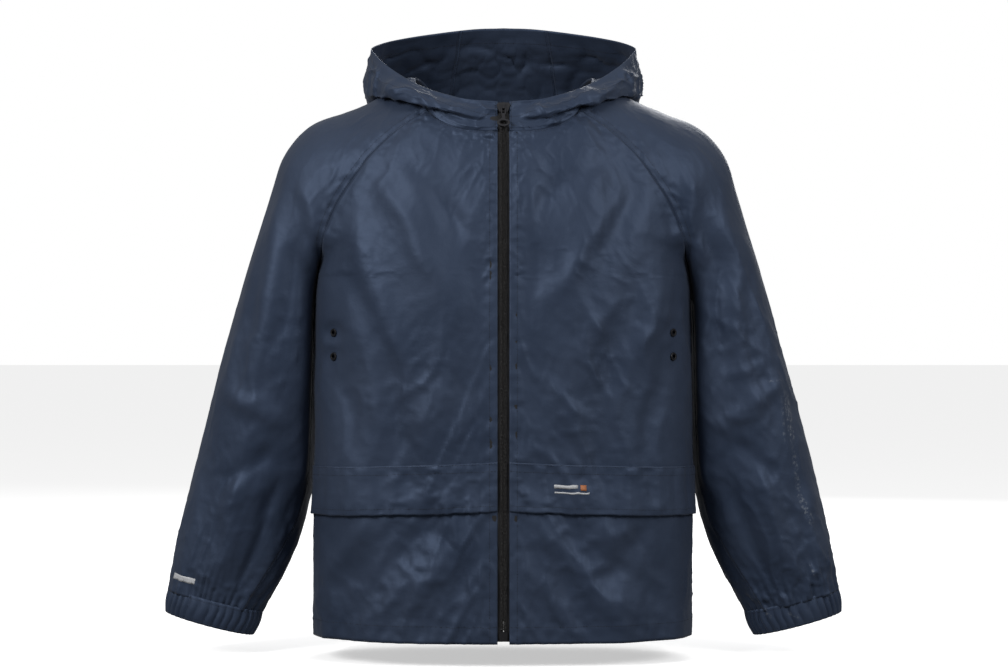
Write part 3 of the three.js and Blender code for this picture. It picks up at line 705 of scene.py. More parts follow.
def fade(tree: Tree, place: Socket, direction: tuple, middle: tuple, reach: float) -> Socket:
    """A value that falls from 1 at a middle plane to 0 at a reach on either side of it.

    Args:
        tree: The material's node tree.
        place: The object's coordinates.
        direction: The plane's normal.
        middle: A point on the plane.
        reach: How far off the value is 0.

    Returns:
        The value.
    """
    offset = tree.nodes.new("ShaderNodeVectorMath")
    offset.operation = "SUBTRACT"
    offset.inputs[1].default_value = middle
    tree.links.new(place, offset.inputs[0])
    dot = tree.nodes.new("ShaderNodeVectorMath")
    dot.operation = "DOT_PRODUCT"
    dot.inputs[1].default_value = direction
    tree.links.new(offset.outputs["Vector"], dot.inputs[0])
    far = tree.nodes.new("ShaderNodeMath")
    far.operation = "ABSOLUTE"
    tree.links.new(dot.outputs["Value"], far.inputs[0])
    fall = tree.nodes.new("ShaderNodeMapRange")
    fall.interpolation_type = "SMOOTHSTEP"
    fall.inputs["From Min"].default_value = 0.5 * reach
    fall.inputs["From Max"].default_value = reach
    fall.inputs["To Min"].default_value = 1.0
    fall.inputs["To Max"].default_value = 0.0
    tree.links.new(far.outputs["Value"], fall.inputs["Value"])
    return fall.outputs["Result"]


def mixed(tree: Tree, value: Socket, low: tuple, high: tuple, start: float, end: float) -> Socket:
    """A colour that goes from low to high as a value goes from start to end.

    Args:
        tree: The material's node tree.
        value: What the colour follows.
        low: The colour up to the start.
        high: The colour from the end.
        start: Where it leaves the low colour.
        end: Where it reaches the high one.

    Returns:
        The colour.
    """
    ramp = tree.nodes.new("ShaderNodeValToRGB")
    ramp.color_ramp.elements[0].position = start
    ramp.color_ramp.elements[0].color = (*low, 1)
    ramp.color_ramp.elements[1].position = end
    ramp.color_ramp.elements[1].color = (*high, 1)
    tree.links.new(value, ramp.inputs["Fac"])
    return ramp.outputs["Color"]


def bump(tree: Tree, height: Socket, strength: float, distance: float, below: Socket | None = None) -> Socket:
    """A bump node's normal, on top of another.

    Args:
        tree: The material's node tree.
        height: What stands up.
        strength: The bump's share.
        distance: Its height in metres.
        below: A bump to lie on.

    Returns:
        The bumped normal.
    """
    made = tree.nodes.new("ShaderNodeBump")
    made.inputs["Strength"].default_value = strength
    made.inputs["Distance"].default_value = distance
    tree.links.new(height, made.inputs["Height"])
    if below is not None:
        tree.links.new(below, made.inputs["Normal"])
    return made.outputs["Normal"]


# ---- Folds ----


@dataclass(frozen=True)
class Fold:
    """A soft ridge, or a trough where its height is negative, along a line seen from the front."""

    x0: float
    z0: float
    x1: float
    z1: float
    wide: float
    high: float
    face: Face = Face.FRONT


FOLD_LIFT = 1.4
FOLDS = [
    # chest: pulls that fan out from the raglan seams and the zip
    Fold(150, -120, 60, -250, 13, 2.6), Fold(170, -150, 95, -330, 15, 3.0),
    Fold(120, -90, 40, -160, 11, -2.2),
    Fold(-150, -115, -70, -240, 12, 2.8), Fold(-175, -160, -110, -350, 16, 3.0),
    Fold(-110, -95, -35, -185, 12, -2.4),
    Fold(30, -120, 62, -300, 12, 1.8), Fold(-28, -140, -70, -330, 13, 2.0),
    Fold(190, -230, 120, -430, 15, 3.4), Fold(-190, -240, -130, -440, 17, 3.2),
    Fold(205, -300, 165, -440, 11, -3.0),
    Fold(-205, -310, -160, -445, 12, -3.0), Fold(60, -300, 95, -440, 14, 2.2),
    Fold(-50, -310, -92, -440, 13, 2.4),
    Fold(128, -70, 46, -330, 24, 3.2), Fold(-124, -75, -50, -330, 25, 3.2),
    Fold(80, -80, 20, -250, 18, -2.4),
    Fold(-78, -85, -22, -260, 18, -2.4), Fold(140, -330, 110, -500, 20, -3.4),
    Fold(-140, -330, -100, -500, 20, -3.6),
    # lower fronts: a broad trough from the flap to the side of the hem, and soft diagonals
    Fold(70, -500, 212, -622, 22, -4.4), Fold(-62, -500, -210, -620, 23, -4.6),
    Fold(40, -515, 150, -640, 13, 3.2), Fold(95, -512, 200, -610, 12, 2.8),
    Fold(20, -560, 90, -650, 11, 2.4),
    Fold(-35, -515, -120, -640, 14, 3.2), Fold(-100, -512, -190, -620, 12, 2.8),
    Fold(-150, -515, -215, -590, 10, 2.2),
    Fold(170, -515, 120, -600, 10, -2.4), Fold(-70, -520, -40, -600, 10, -2.2),
    # back: long slack folds from the shoulders
    Fold(150, -150, 70, -420, 18, 4.0, Face.BACK), Fold(-140, -160, -60, -440, 19, 4.0, Face.BACK),
    Fold(60, -140, 20, -330, 16, 3.0, Face.BACK), Fold(-90, -380, -150, -640, 18, 4.4, Face.BACK),
    Fold(100, -360, 165, -640, 17, 4.2, Face.BACK), Fold(10, -300, 30, -620, 20, 3.2, Face.BACK),
    Fold(190, -260, 130, -480, 14, -3.0, Face.BACK), Fold(-190, -280, -120, -500, 14, -3.0, Face.BACK),
    # sleeves: long folds down from the shoulder, short breaks at the elbow, gathers above the cuff
    Fold(262, -130, 300, -400, 12, 4.2), Fold(285, -170, 345, -430, 13, 4.6),
    Fold(240, -170, 262, -330, 10, -3.6),
    Fold(-258, -125, -292, -390, 13, 4.4), Fold(-290, -180, -350, -440, 13, 4.4),
    Fold(-238, -180, -258, -320, 10, -3.6),
    Fold(262, -400, 340, -350, 12, 3.6), Fold(268, -430, 330, -470, 12, -3.4),
    Fold(300, -450, 350, -600, 12, 4.2),
    Fold(-265, -410, -335, -365, 12, 3.4), Fold(-270, -440, -335, -480, 12, -3.4),
    Fold(-305, -460, -352, -605, 12, 4.2),
    Fold(270, -480, 320, -610, 9, -4.6), Fold(-270, -480, -318, -612, 9, -4.6),
    Fold(365, -470, 388, -610, 10, 3.4),
    Fold(-362, -460, -386, -606, 10, 3.4), Fold(230, -120, 215, -190, 10, 3.0),
    Fold(-232, -122, -216, -195, 10, 3.0),
    Fold(280, -180, 330, -420, 16, 4.6, Face.BACK), Fold(-280, -190, -332, -430, 16, 4.6, Face.BACK),
    Fold(300, -430, 350, -600, 14, 4.2, Face.BACK), Fold(-300, -420, -352, -604, 14, 4.2, Face.BACK),
]


def fold_height(p: Array) -> Array:
    """How far the folds and crinkles lift the cloth at points of the form, in millimetres.

    Args:
        p: Points of the form.

    Returns:
        The lift at each point.
    """
    total = np.zeros(p.shape[:-1])
    wobble = 9 * noise(p / 55.0, 11)
    for fold in FOLDS:
        dx, dz = fold.x1 - fold.x0, fold.z1 - fold.z0
        length = dx * dx + dz * dz
        t = ((p[..., 0] - fold.x0) * dx + (p[..., 2] - fold.z0) * dz) / length
        off = ((p[..., 0] - fold.x0) * dz - (p[..., 2] - fold.z0) * dx) / math.sqrt(length) + wobble
        end = ease((t + 0.15) / 0.35) * ease((1.15 - t) / 0.45)
        facing = ease((p[..., 1] * fold.face.value + 12) / 45)
        total += FOLD_LIFT * fold.high * end * facing * np.exp(-((off / fold.wide) ** 2))
    slant = p + np.stack([0.45 * p[..., 2] * np.sign(p[..., 0]), 0 * p[..., 0], 0 * p[..., 0]], -1)
    calm = ease((p[..., 2] + 330) / 130) * ease((0.5 * np.abs(p[..., 0]) + 5) / 30)
    busy = (0.5 + 0.7 * ease(0.5 + 0.9 * noise(p / 90.0, 3))) * (1 - 0.68 * calm)
    total += 4.6 * noise(p / np.array([44.0, 44.0, 150.0]), 21)
    total += busy * 4.2 * (creases(slant / np.array([34.0, 34.0, 80.0]), 23) - 0.35)
    return total + busy * 2.4 * (creases(p / np.array([16.0, 16.0, 24.0]), 5) - 0.35)


# ---- Making meshes ----


def grid_normals(grid: Array) -> Array:
    """Unit normals of a grid whose rows run down and whose columns run round to the wearer's left.

    Args:
        grid: The grid.

    Returns:
        A normal for each point.
    """
    down = np.gradient(grid, axis=0)
    across = np.gradient(grid, axis=1)
    normal = np.cross(down, across)
    return normal / np.maximum(np.linalg.norm(normal, axis=-1, keepdims=True), 1e-9)


def refine(grid: Array, rows: int, columns: int) -> Array:
    """A grid with so many steps between its rows and its columns."""
    tall = catmull(grid, rows)
    return catmull(tall.transpose(1, 0, 2), columns).transpose(1, 0, 2)


class Edge(Enum):
    """An edge of a grid: the axis that leads away from it, and whether that axis is read backwards."""

    TOP = (0, False)
    BOTTOM = (0, True)
    FIRST = (1, False)
    LAST = (1, True)

    def read(self, grid: Array) -> Array:
        """The grid with its rows as lines that lead away from this edge.

        Args:
            grid: A grid of points or values.

        Returns:
            Its lines.
        """
        axis, backwards = self.value
        lines = grid.swapaxes(0, 1) if axis == 0 else grid
        return lines[:, ::-1] if backwards else lines

    def write(self, lines: Array) -> Array:
        """Puts values that follow such lines back in the grid's order.

        Args:
            lines: The values, a line each.

        Returns:
            The values as a grid.
        """
        axis, backwards = self.value
        lines = lines[:, ::-1] if backwards else lines
        return lines.swapaxes(0, 1) if axis == 0 else lines


def away(grid: Array, edge: Edge) -> Array:
    """How far each point of a grid is from an edge, along the grid.

    Args:
        grid: The grid.
        edge: Which edge.

    Returns:
        A distance for each point.
    """
    lines = edge.read(grid)
    step = np.linalg.norm(np.diff(lines, axis=1), axis=-1)
    return edge.write(np.concatenate([np.zeros((len(lines), 1)), np.cumsum(step, axis=1)], axis=1))


def inset(grid: Array, values: Array, edge: Edge, distance: float) -> Array:
    """Values of a grid along a line at a distance from an edge.

    Args:
        grid: The grid's points.
        values: The values, one for each point.
        edge: Which edge.
        distance: How far from it the line runs.

    Returns:
        The values along the line.
    """
    far, lines = edge.read(away(grid, edge)[..., None])[..., 0], edge.read(values)
    pairs = zip(far, lines)
    return np.array([[np.interp(distance, f, line[:, k]) for k in range(3)] for f, line in pairs])


def soothed(grid: Array, middle: float, reach: float, passes: int) -> Array:
    """A grid evened out near one row, with its edges kept.

    Args:
        grid: The grid.
        middle: The row it is evened out about.
        reach: How many rows the effect reaches.
        passes: How many times it is done.

    Returns:
        The evened grid.
    """
    weight = 0.5 * np.exp(-(((np.arange(len(grid)) - middle) / reach) ** 2))[1:-1, None, None]
    grid = grid.copy()
    for _ in range(passes):
        inner = grid[1:-1, 1:-1]
        around = (grid[:-2, 1:-1] + grid[2:, 1:-1]) * 0.4 + (grid[1:-1, :-2] + grid[1:-1, 2:]) * 0.1
        grid[1:-1, 1:-1] = inner + weight * (around - inner)
    return grid


def mesh_object(name: str, points: Array, faces: list, finish: Material) -> bpy.types.Object:
    """A mesh object from points in millimetres.

    Args:
        name: The piece's name.
        points: Its vertices.
        faces: Its faces, as lists of vertex numbers.
        finish: Its material.

    Returns:
        The object, smooth-shaded, at the origin.
    """
    mesh = bpy.data.meshes.new(name)
    mesh.from_pydata((np.asarray(points) * MM).tolist(), [], faces)
    mesh.materials.append(finish)
    mesh.polygons.foreach_set("use_smooth", [True] * len(mesh.polygons))
    mesh.update()
    piece = bpy.data.objects.new(name, mesh)
    bpy.context.collection.objects.link(piece)
    log.info("made %s", name)
    return piece


def apply_modifiers(piece: bpy.types.Object) -> None:
    """Applies every modifier of a piece.

    Args:
        piece: The piece.
    """
    for other in bpy.context.selected_objects:
        other.select_set(False)
    piece.select_set(True)
    bpy.context.view_layer.objects.active = piece
    for modifier in list(piece.modifiers):
        bpy.ops.object.modifier_apply(modifier=modifier.name)


def cloth(name: str, grid: Array, finish: Material, wall: float = 1.0) -> bpy.types.Object:
    """A piece of cloth with a wall behind its outer face.

    Args:
        name: The piece's name.
        grid: Its outer face, in rows and columns.
        finish: Its material.
        wall: The wall's thickness in millimetres.

    Returns:
        The piece.
    """
    rows, columns = grid.shape[:2]
    at = np.arange(rows * columns).reshape(rows, columns)
    corners = [at[:-1, :-1], at[1:, :-1], at[1:, 1:], at[:-1, 1:]]
    faces = np.stack([c.ravel() for c in corners], axis=1).tolist()
    piece = mesh_object(name, grid.reshape(-1, 3), faces, finish)
    solidify = piece.modifiers.new("wall", "SOLIDIFY")
    solidify.thickness = wall * MM
    solidify.offset = -1
    apply_modifiers(piece)
    return piece


def mirrored(grid: Array) -> Array:
    """The same grid on the wearer's other side, with its faces still outwards."""
    return (grid * np.array([-1.0, 1, 1]))[:, ::-1]


def declare(piece: bpy.types.Object, node: str, body: str) -> None:
    """Hides a node's part and puts the piece that stands for it on a body.

    Args:
        piece: The piece.
        node: The node it stands for.
        body: The body it rides on.
    """
    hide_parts(node)
    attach(piece, body)


@dataclass
class StitchLine:
    """A row of thread along a line of points that lie on cloth."""

    points: Array
    normals: Array
    long: float = 2.3
    pitch: float = 3.3
    wide: float = 0.42
    high: float = 0.14
    sunk: float = 0.2
    rounding: float = 0.6

    def boxes(self) -> tuple:
        """Makes the stitches.

        Returns:
            Their vertices and their faces, counted from zero.
        """
        length = np.concatenate([[0], np.cumsum(np.linalg.norm(np.diff(self.points, axis=0), axis=1))])
        starts = np.arange(1.0, length[-1] - self.long, self.pitch)
        first = read_along(length, self.points, starts)
        last = read_along(length, self.points, starts + self.long)
        up = read_along(length, self.normals, starts + self.long / 2)
        along = (last - first) / np.linalg.norm(last - first, axis=1, keepdims=True)
        side = np.cross(up, along) * self.wide / 2
        ends = (first - side, first + side, last + side, last - side)
        corners = [end - self.sunk * up for end in ends]
        for end, sign in ((first, -1), (first, 1), (last, 1), (last, -1)):
            corners.append(end + sign * side * self.rounding + self.high * up)
        points = np.stack(corners, axis=1).reshape(-1, 3)
        around = [[k, (k + 1) % 4, (k + 1) % 4 + 4, k + 4] for k in range(4)]
        box = np.array([[0, 3, 2, 1], [4, 5, 6, 7]] + around)
        faces = (box[None] + 8 * np.arange(len(starts))[:, None, None]).reshape(-1, 4)
        return points, faces


def thread(name: str, lines: list, finish: Material, body: str) -> None:
    """Joins stitch lines into one piece that rides on a body.

    Args:
        name: The piece's name.
        lines: The stitch lines.
        finish: Its material.
        body: The body it rides on.
    """
    points, faces, count = [], [], 0
    for line in lines:
        some, quads = line.boxes()
        points.append(some)
        faces.append(quads + count)
        count += len(some)
    piece = mesh_object(name, np.concatenate(points), np.concatenate(faces).tolist(), finish)
    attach(piece, body)


# ---- The jacket ----


@dataclass
class Garment:
    """The jacket's cloth, sewn from fronts, back, sleeves, cuffs, flaps and a three-piece hood."""

    form: Form = field(default_factory=Form)
    body: str = "jacket"
    front_columns: int = 9
    back_columns: int = 7
    rows_below: int = 12
    sleeve_sides: int = 16
    hood_rows: int = 10
    detail: int = 9
    hem_deep: float = 20.0
    cuff_high: float = 27.0
    cuff_gathers: int = 34
    cuff_tuck: float = 4.0
    flap_top: float = -446.0
    flap_side: float = -456.0
    flap_high: float = 57.0
    rim_deep: float = 20.0
    pucker: float = 1.1
    eyelet_proud: float = 0.3
    eyelet_hole: float = 3.9
    seam_stitch: float = 2.0
    second_stitch: float = 8.0
    zip_stitch: float = 9.2
    flap_wall: float = 1.1
    cuff_wall: float = 1.6
    print_high: float = 0.22
    lines: list = field(default_factory=list)

    def dress(self) -> None:
        """Makes the finishes."""
        self.finish = ClothFinish("navy_coated_cloth").build()
        self.thread = PlainFinish("navy_thread", (0.006, 0.008, 0.014), 0.8).build()
        self.white = PlainFinish("white_print", (0.55, 0.56, 0.58), 0.6).build()
        self.orange = PlainFinish("orange_print", (0.45, 0.16, 0.06), 0.6).build()

    def worked(self, grid: Array, edges: tuple, mirror: bool = False) -> Array:
        """A fine grid with its folds, held to the form along its seams.

        Args:
            grid: The form's grid, refined.
            edges: Its sewn edges.
            mirror: Whether it is a mirrored piece, whose folds differ from the other side's.

        Returns:
            The grid moved along its normals.
        """
        height = fold_height(grid)
        hold = np.ones(grid.shape[:2])
        pucker = np.zeros(grid.shape[:2])
        ripple = noise(grid / 7.5, 51 + int(mirror)) + 0.6 * noise(grid / 4.0, 53)
        for edge in edges:
            far = away(grid, edge)
            hold *= 1 - 0.9 * np.exp(-((far / 9.0) ** 2))
            pucker += self.pucker * ripple * np.exp(-(((far - 8) / 9.0) ** 2))
        hem = away(grid, Edge.BOTTOM) - self.hem_deep
        pucker += self.pucker * ripple * np.exp(-((hem / 13.0) ** 2))
        normals = grid_normals(grid)
        shown = 0.35 + 0.65 * np.abs(normals[..., 1])
        return grid + normals * ((height * hold + pucker) * shown)[..., None]

    def stitch(
        self, grid: Array, edge: Edge, distance: float, out: float = 0.0, upto: float = 1.0
    ) -> None:
        """Adds a stitch line on a grid at a distance from an edge.

        Args:
            grid: The cloth's outer face.
            edge: The edge it follows.
            distance: How far from that edge it runs.
            out: How far it lies off the face.
            upto: The share of the edge that it follows.
        """
        normals = grid_normals(grid)
        points, up = inset(grid, grid, edge, distance), inset(grid, normals, edge, distance)
        last = int(len(points) * upto)
        up = up if out >= 0 else -up
        self.lines.append(StitchLine((points + abs(out) * up)[:last], up[:last]))

    def settle_eyelets(self, grid: Array, smooth: Array, side: Side) -> Array:
        """Brings a front to each of its eyelets.

        Args:
            grid: The front with its folds.
            smooth: The same front without them.
            side: Which front it is.

        Returns:
            The front, at each eyelet brought level with its ring.
        """
        for level in ("upper", "lower"):
            low, high = (np.array(c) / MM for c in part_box(f"eyelet_{side.name.lower()}_{level}"))
            x, z = (low[0] + high[0]) / 2, (low[2] + high[2]) / 2
            off = np.hypot(smooth[..., 0] - x, smooth[..., 2] - z)
            near = np.unravel_index(np.argmin(off), off.shape)
            up = grid_normals(smooth)[near]
            shift = up * (np.dot((low + high) / 2 - smooth[near], up) - self.eyelet_proud)
            share = np.exp(-((off / 12.0) ** 4))[..., None]
            grid = grid * (1 - share) + (smooth + shift) * share
        return grid

    def add_fronts(self) -> None:
        """The two fronts, with the flap sewn across each."""
        coarse = self.form.body_grid(Face.FRONT, self.front_columns, self.rows_below)
        base = refine(coarse, self.detail, self.detail)
        for side in Side:
            left = side is Side.LEFT
            smooth = base if left else mirrored(base)
            zip_edge, side_edge = (Edge.FIRST, Edge.LAST) if left else (Edge.LAST, Edge.FIRST)
            grid = self.worked(smooth, (Edge.TOP, zip_edge, side_edge), not left)
            grid = self.settle_eyelets(grid, smooth, side)
            name = "front_" + side.name.lower()
            piece = cloth(name, grid, self.finish)
            self.cut_eyelets(piece, side)
            declare(piece, name, self.body)
            self.stitch(grid, zip_edge, self.zip_stitch)
            self.stitch(grid, Edge.BOTTOM, self.hem_deep)
            self.stitch(grid, Edge.TOP, self.seam_stitch)
            self.add_flap(side, grid)

    def cut_eyelets(self, piece: bpy.types.Object, side: Side) -> None:
        """Cuts a hole through a front where each eyelet sits.

        Args:
            piece: The front.
            side: Which front it is.
        """
        for level in ("upper", "lower"):
            low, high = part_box(f"eyelet_{side.name.lower()}_{level}")
            centre = [(a + b) / 2 for a, b in zip(low, high)]
            for other in bpy.context.selected_objects:
                other.select_set(False)
            radius = self.eyelet_hole * MM
            bpy.ops.mesh.primitive_uv_sphere_add(segments=24, ring_count=12, radius=radius, location=centre)
            cutter = bpy.context.active_object
            cut = piece.modifiers.new("eyelet", "BOOLEAN")
            cut.operation = "DIFFERENCE"
            cut.solver = "EXACT"
            cut.object = cutter
            apply_modifiers(piece)
            bpy.data.objects.remove(cutter, do_unlink=True)

    def add_flap(self, side: Side, front: Array) -> None:
        """A flap made from the front's own points, moved out.

        Args:
            side: Which flap it is.
            front: The front it lies on.
        """
        grid = front if side is Side.LEFT else front[:, ::-1]
        columns = grid.shape[1]
        heights = np.linspace(0, 1, 30)
        far = away(grid, Edge.FIRST)
        points = np.empty((len(heights), columns, 3))
        normal = grid_normals(grid) if side is Side.LEFT else -grid_normals(grid)
        for j in range(columns):
            top = self.flap_top + (self.flap_side - self.flap_top) * (j / (columns - 1))
            z = top - self.flap_high * heights
            order = np.argsort(grid[:, j, 2])
            line = read_along(grid[order, j, 2], grid[order, j], z)
            out = read_along(grid[order, j, 2], normal[order, j], z)
            ripple = 1.3 * noise(line / np.array([9.0, 9.0, 60.0]), 31)
            near = np.exp(-(((heights - 0.1) / 0.13) ** 2)) + np.exp(-(((heights - 0.92) / 0.13) ** 2))
            ripple += 1.1 * near * noise(line / np.array([4.2, 4.2, 12.0]), 33)
            sewn = ease(far[0, j] / 14) * ease((far[0, -1] - far[0, j]) / 16)
            lift = 1.1 + sewn * (0.9 + 2.4 * ease((heights - 0.3) / 0.7) + ripple * ease(heights / 0.1))
            points[:, j] = line + out * lift[:, None]
        if side is Side.RIGHT:
            points = points[:, ::-1]
        name = "flap_" + side.name.lower()
        piece = cloth(name, points, self.finish, self.flap_wall)
        declare(piece, name, self.body)
        zip_edge = Edge.FIRST if side is Side.LEFT else Edge.LAST
        rows = ((Edge.TOP, 1.6), (Edge.TOP, 10.5), (Edge.BOTTOM, 7.0), (zip_edge, self.zip_stitch))
        for edge, distance in rows:
            self.stitch(points, edge, distance)
        if side is Side.LEFT:
            self.add_mark(points)

    def add_back(self) -> None:
        """The back, in one piece."""
        half = self.form.body_grid(Face.BACK, self.back_columns, self.rows_below)
        self.back_half = half
        left = half[:, ::-1]
        whole = np.concatenate([left, mirrored(left)[:, 1:]], axis=1)
        grid = self.worked(refine(whole, self.detail, self.detail), (Edge.TOP, Edge.FIRST, Edge.LAST))
        piece = cloth("back", grid, self.finish)
        declare(piece, "back", self.body)
        self.stitch(grid, Edge.BOTTOM, self.hem_deep)

    def add_sleeves(self) -> None:
        """The two raglan sleeves."""
        self.sleeve_coarse = self.form.sleeve_grid(self.sleeve_sides, self.rows_below)
        base = refine(self.sleeve_coarse, self.detail, self.detail)
        base = soothed(base, 12.0 * self.detail, 3.4 * self.detail, 220)
        for side in Side:
            left = side is Side.LEFT
            smooth = base if left else mirrored(base)
            grid = self.worked(smooth, (Edge.TOP, Edge.FIRST, Edge.LAST), not left)
            grid = self.gathered(self.pressed(grid, side), side)
            name = "sleeve_" + side.name.lower()
            piece = cloth(name, grid, self.finish)
            declare(piece, name, self.body)
            for edge in (Edge.FIRST, Edge.LAST):
                self.stitch(grid, edge, self.seam_stitch)
                self.stitch(grid, edge, self.second_stitch, upto=0.49)
            if not left:
                self.add_bar(grid)

    def pressed(self, grid: Array, side: Side) -> Array:
        """A sleeve with its inner face brought to the body's side.

        Args:
            grid: The sleeve's grid.
            side: Which sleeve it is.

        Returns:
            The grid moved.
        """
        room = self.form.body_field(grid)
        inward = -side.value * grid_normals(grid)[..., 0]
        height = ease((-205 - grid[..., 2]) / 25) * ease((grid[..., 2] + 505) / 45)
        deep = ease((80 - grid[..., 1]) / 30) * ease((grid[..., 1] + 50) / 35)
        near = ease((inward - 0.15) / 0.5) * ease((30 - room) / 10)
        push = np.clip(room - 2.4, 0, 10) * height * deep * near
        return grid - np.array([side.value, 0, 0]) * push[..., None]

    def gathered(self, grid: Array, side: Side) -> Array:
        """A sleeve with pleats that run up from its cuff.

        Args:
            grid: The sleeve's grid.
            side: Which sleeve it is.

        Returns:
            The grid with its pleats.
        """
        far = away(grid, Edge.BOTTOM)
        turn = np.linspace(0, 1, grid.shape[1])[None] * 2 * math.pi
        phase = self.cuff_gathers * (turn if side is Side.LEFT else 2 * math.pi - turn)
        phase = phase + 1.4 * np.sin(3 * turn + 1) + 0.9 * np.sin(7 * turn)
        phase = phase + 0.012 * far * np.sin(5 * turn)
        pleat = np.abs(np.sin(phase / 2)) ** 0.7 - 0.7
        reach = 22 + 14 * np.sin(4 * turn + 0.6) + 8 * np.sin(9 * turn)
        lift = 4.6 * pleat * np.exp(-far / reach) * ease((far + 2) / 6)
        return grid + grid_normals(grid) * lift[..., None]

    def add_cuffs(self) -> None:
        """The gathered cuffs, each a casing with elastic inside."""
        end = self.form.arm_middle()[-1]
        lean = math.radians(end[3])
        out = np.array([math.cos(lean), 0, math.sin(lean)])
        down = np.array([math.sin(lean), 0, -math.cos(lean)])
        start = -math.pi + math.radians(38)
        v = np.linspace(0, 1, 15)[:, None]
        angle = start + 2 * math.pi * np.linspace(0, 1, 289)[None]
        phase = self.cuff_gathers * angle + 1.4 * np.sin(3 * angle + 1) + 0.9 * np.sin(7 * angle)
        gather = 5.0 * np.abs(np.sin(phase / 2 + 0.45 * np.sin(5 * v))) ** 0.55 - 3.6
        gather = gather * (0.8 + 0.35 * np.sin(5 * angle + 2) * np.sin(2 * angle))
        swell = 1.6 * np.sin(np.pi * v) + gather * (0.5 + 0.5 * np.sin(np.pi * np.clip(v, 0.08, 0.92)))
        size = 1 - 0.06 * v
        radial = np.cos(angle) * (end[4] * size + swell)
        depth = np.sin(angle) * (end[5] * size + swell)
        centre = np.array([end[1], end[6], end[2]])
        along = (self.cuff_high + self.cuff_tuck) * v - self.cuff_tuck
        grid = centre + radial[..., None] * out + depth[..., None] * np.array([0, 1.0, 0])
        grid = grid + along[..., None] * down
        for side in Side:
            points = grid if side is Side.LEFT else mirrored(grid)
            name = "cuff_" + side.name.lower()
            piece = cloth(name, points, self.finish, self.cuff_wall)
            declare(piece, name, self.body)
            for edge in (Edge.TOP, Edge.BOTTOM):
                self.stitch(points, edge, 4.0)

    def add_hood(self) -> None:
        """The hood, lying back with its opening up: two sides and a middle strip."""
        front = self.form.body_grid(Face.FRONT, self.front_columns, 1)[0]
        neck = np.concatenate([front, self.sleeve_coarse[0][1:], self.back_half[0][::-1][1:]])
        half = self.form.hood_grid(neck, self.hood_rows)
        whole = np.concatenate([half, mirrored(half)[:, 1:]], axis=1)
        fine = refine(whole, 9, 7)
        rows = np.linspace(0, 1, len(fine))[:, None]
        crumple = 5.5 * (creases(fine / 36.0, 41) - 0.4) + 1.3 * (creases(fine / 17.0, 43) - 0.4)
        hold = ease(rows / 0.12) * ease((1 - rows) / 0.08)
        fine = fine + grid_normals(fine) * (crumple * hold)[..., None]
        split = (len(neck) - 1 - (self.back_columns - 2)) * 7
        last = fine.shape[1] - 1
        cuts = {
            "hood_left": (0, split),
            "hood_centre": (split, last - split),
            "hood_right": (last - split, last),
        }
        for name, (first, final) in cuts.items():
            grid = fine[:, first: final + 1]
            piece = cloth(name, grid, self.finish)
            declare(piece, name, self.body)
            for out in (0.0, -1.05):
                self.stitch(grid, Edge.TOP, self.rim_deep, out)
                for edge in (Edge.FIRST, Edge.LAST):
                    self.stitch(grid, edge, 2.5, out)

    def add_mark(self, flap: Array) -> None:
        """A plain bar, a thinner one under it and a small square on the left flap.

        Args:
            flap: The flap's outer face.
        """
        self.print_on(flap, "flap_bar", self.white, (52, 82), (24.0, 28.5))
        self.print_on(flap, "flap_thin_bar", self.white, (52, 94), (31.5, 33.0))
        self.print_on(flap, "flap_square", self.orange, (86, 93), (23.5, 29.0))

    def add_bar(self, sleeve: Array) -> None:
        """A plain bar near the right cuff.

        Args:
            sleeve: The sleeve's outer face.
        """
        low = away(sleeve, Edge.BOTTOM)
        rows = np.where((low[:, 0] > 17) & (low[:, 0] < 27))[0]
        part = sleeve[rows[0]: rows[-1] + 1]
        x, y = part[..., 0].mean(axis=0), part[..., 1].mean(axis=0)
        columns = np.where((y < 0) & (x < -367) & (x > -397))[0]
        self.raise_print(part[:, columns[0]: columns[-1] + 1], "cuff_bar", self.white)

    def print_on(self, flap: Array, name: str, finish: Material, across: tuple, down: tuple) -> None:
        """A printed oblong on a flap, by its distances from the flap's zip end and from its top.

        Args:
            flap: The flap's outer face.
            name: The print's name.
            finish: Its material.
            across: Where it starts and ends from the zip.
            down: Where it starts and ends from the top.
        """
        u, v = away(flap, Edge.FIRST), away(flap, Edge.TOP)
        rows = [int(np.argmin(np.abs(v[:, 0] - d))) for d in down]
        columns = [int(np.argmin(np.abs(u[0] - a))) for a in across]
        last = max(rows[1], rows[0] + 1)
        self.raise_print(flap[rows[0]: last + 1, columns[0]: columns[1] + 1], name, finish)

    def raise_print(self, grid: Array, name: str, finish: Material) -> None:
        """A thin raised print on a stretch of cloth.

        Args:
            grid: The stretch of cloth.
            name: The print's name.
            finish: Its material.
        """
        piece = cloth(name, grid + self.print_high * grid_normals(grid), finish, 0.15)
        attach(piece, self.body)

    def build(self) -> None:
        """Makes all of the cloth."""
        self.dress()
        self.add_fronts()
        self.add_back()
        self.add_sleeves()
        self.add_cuffs()
        self.add_hood()
        thread("seam_thread", self.lines, self.thread, self.body)


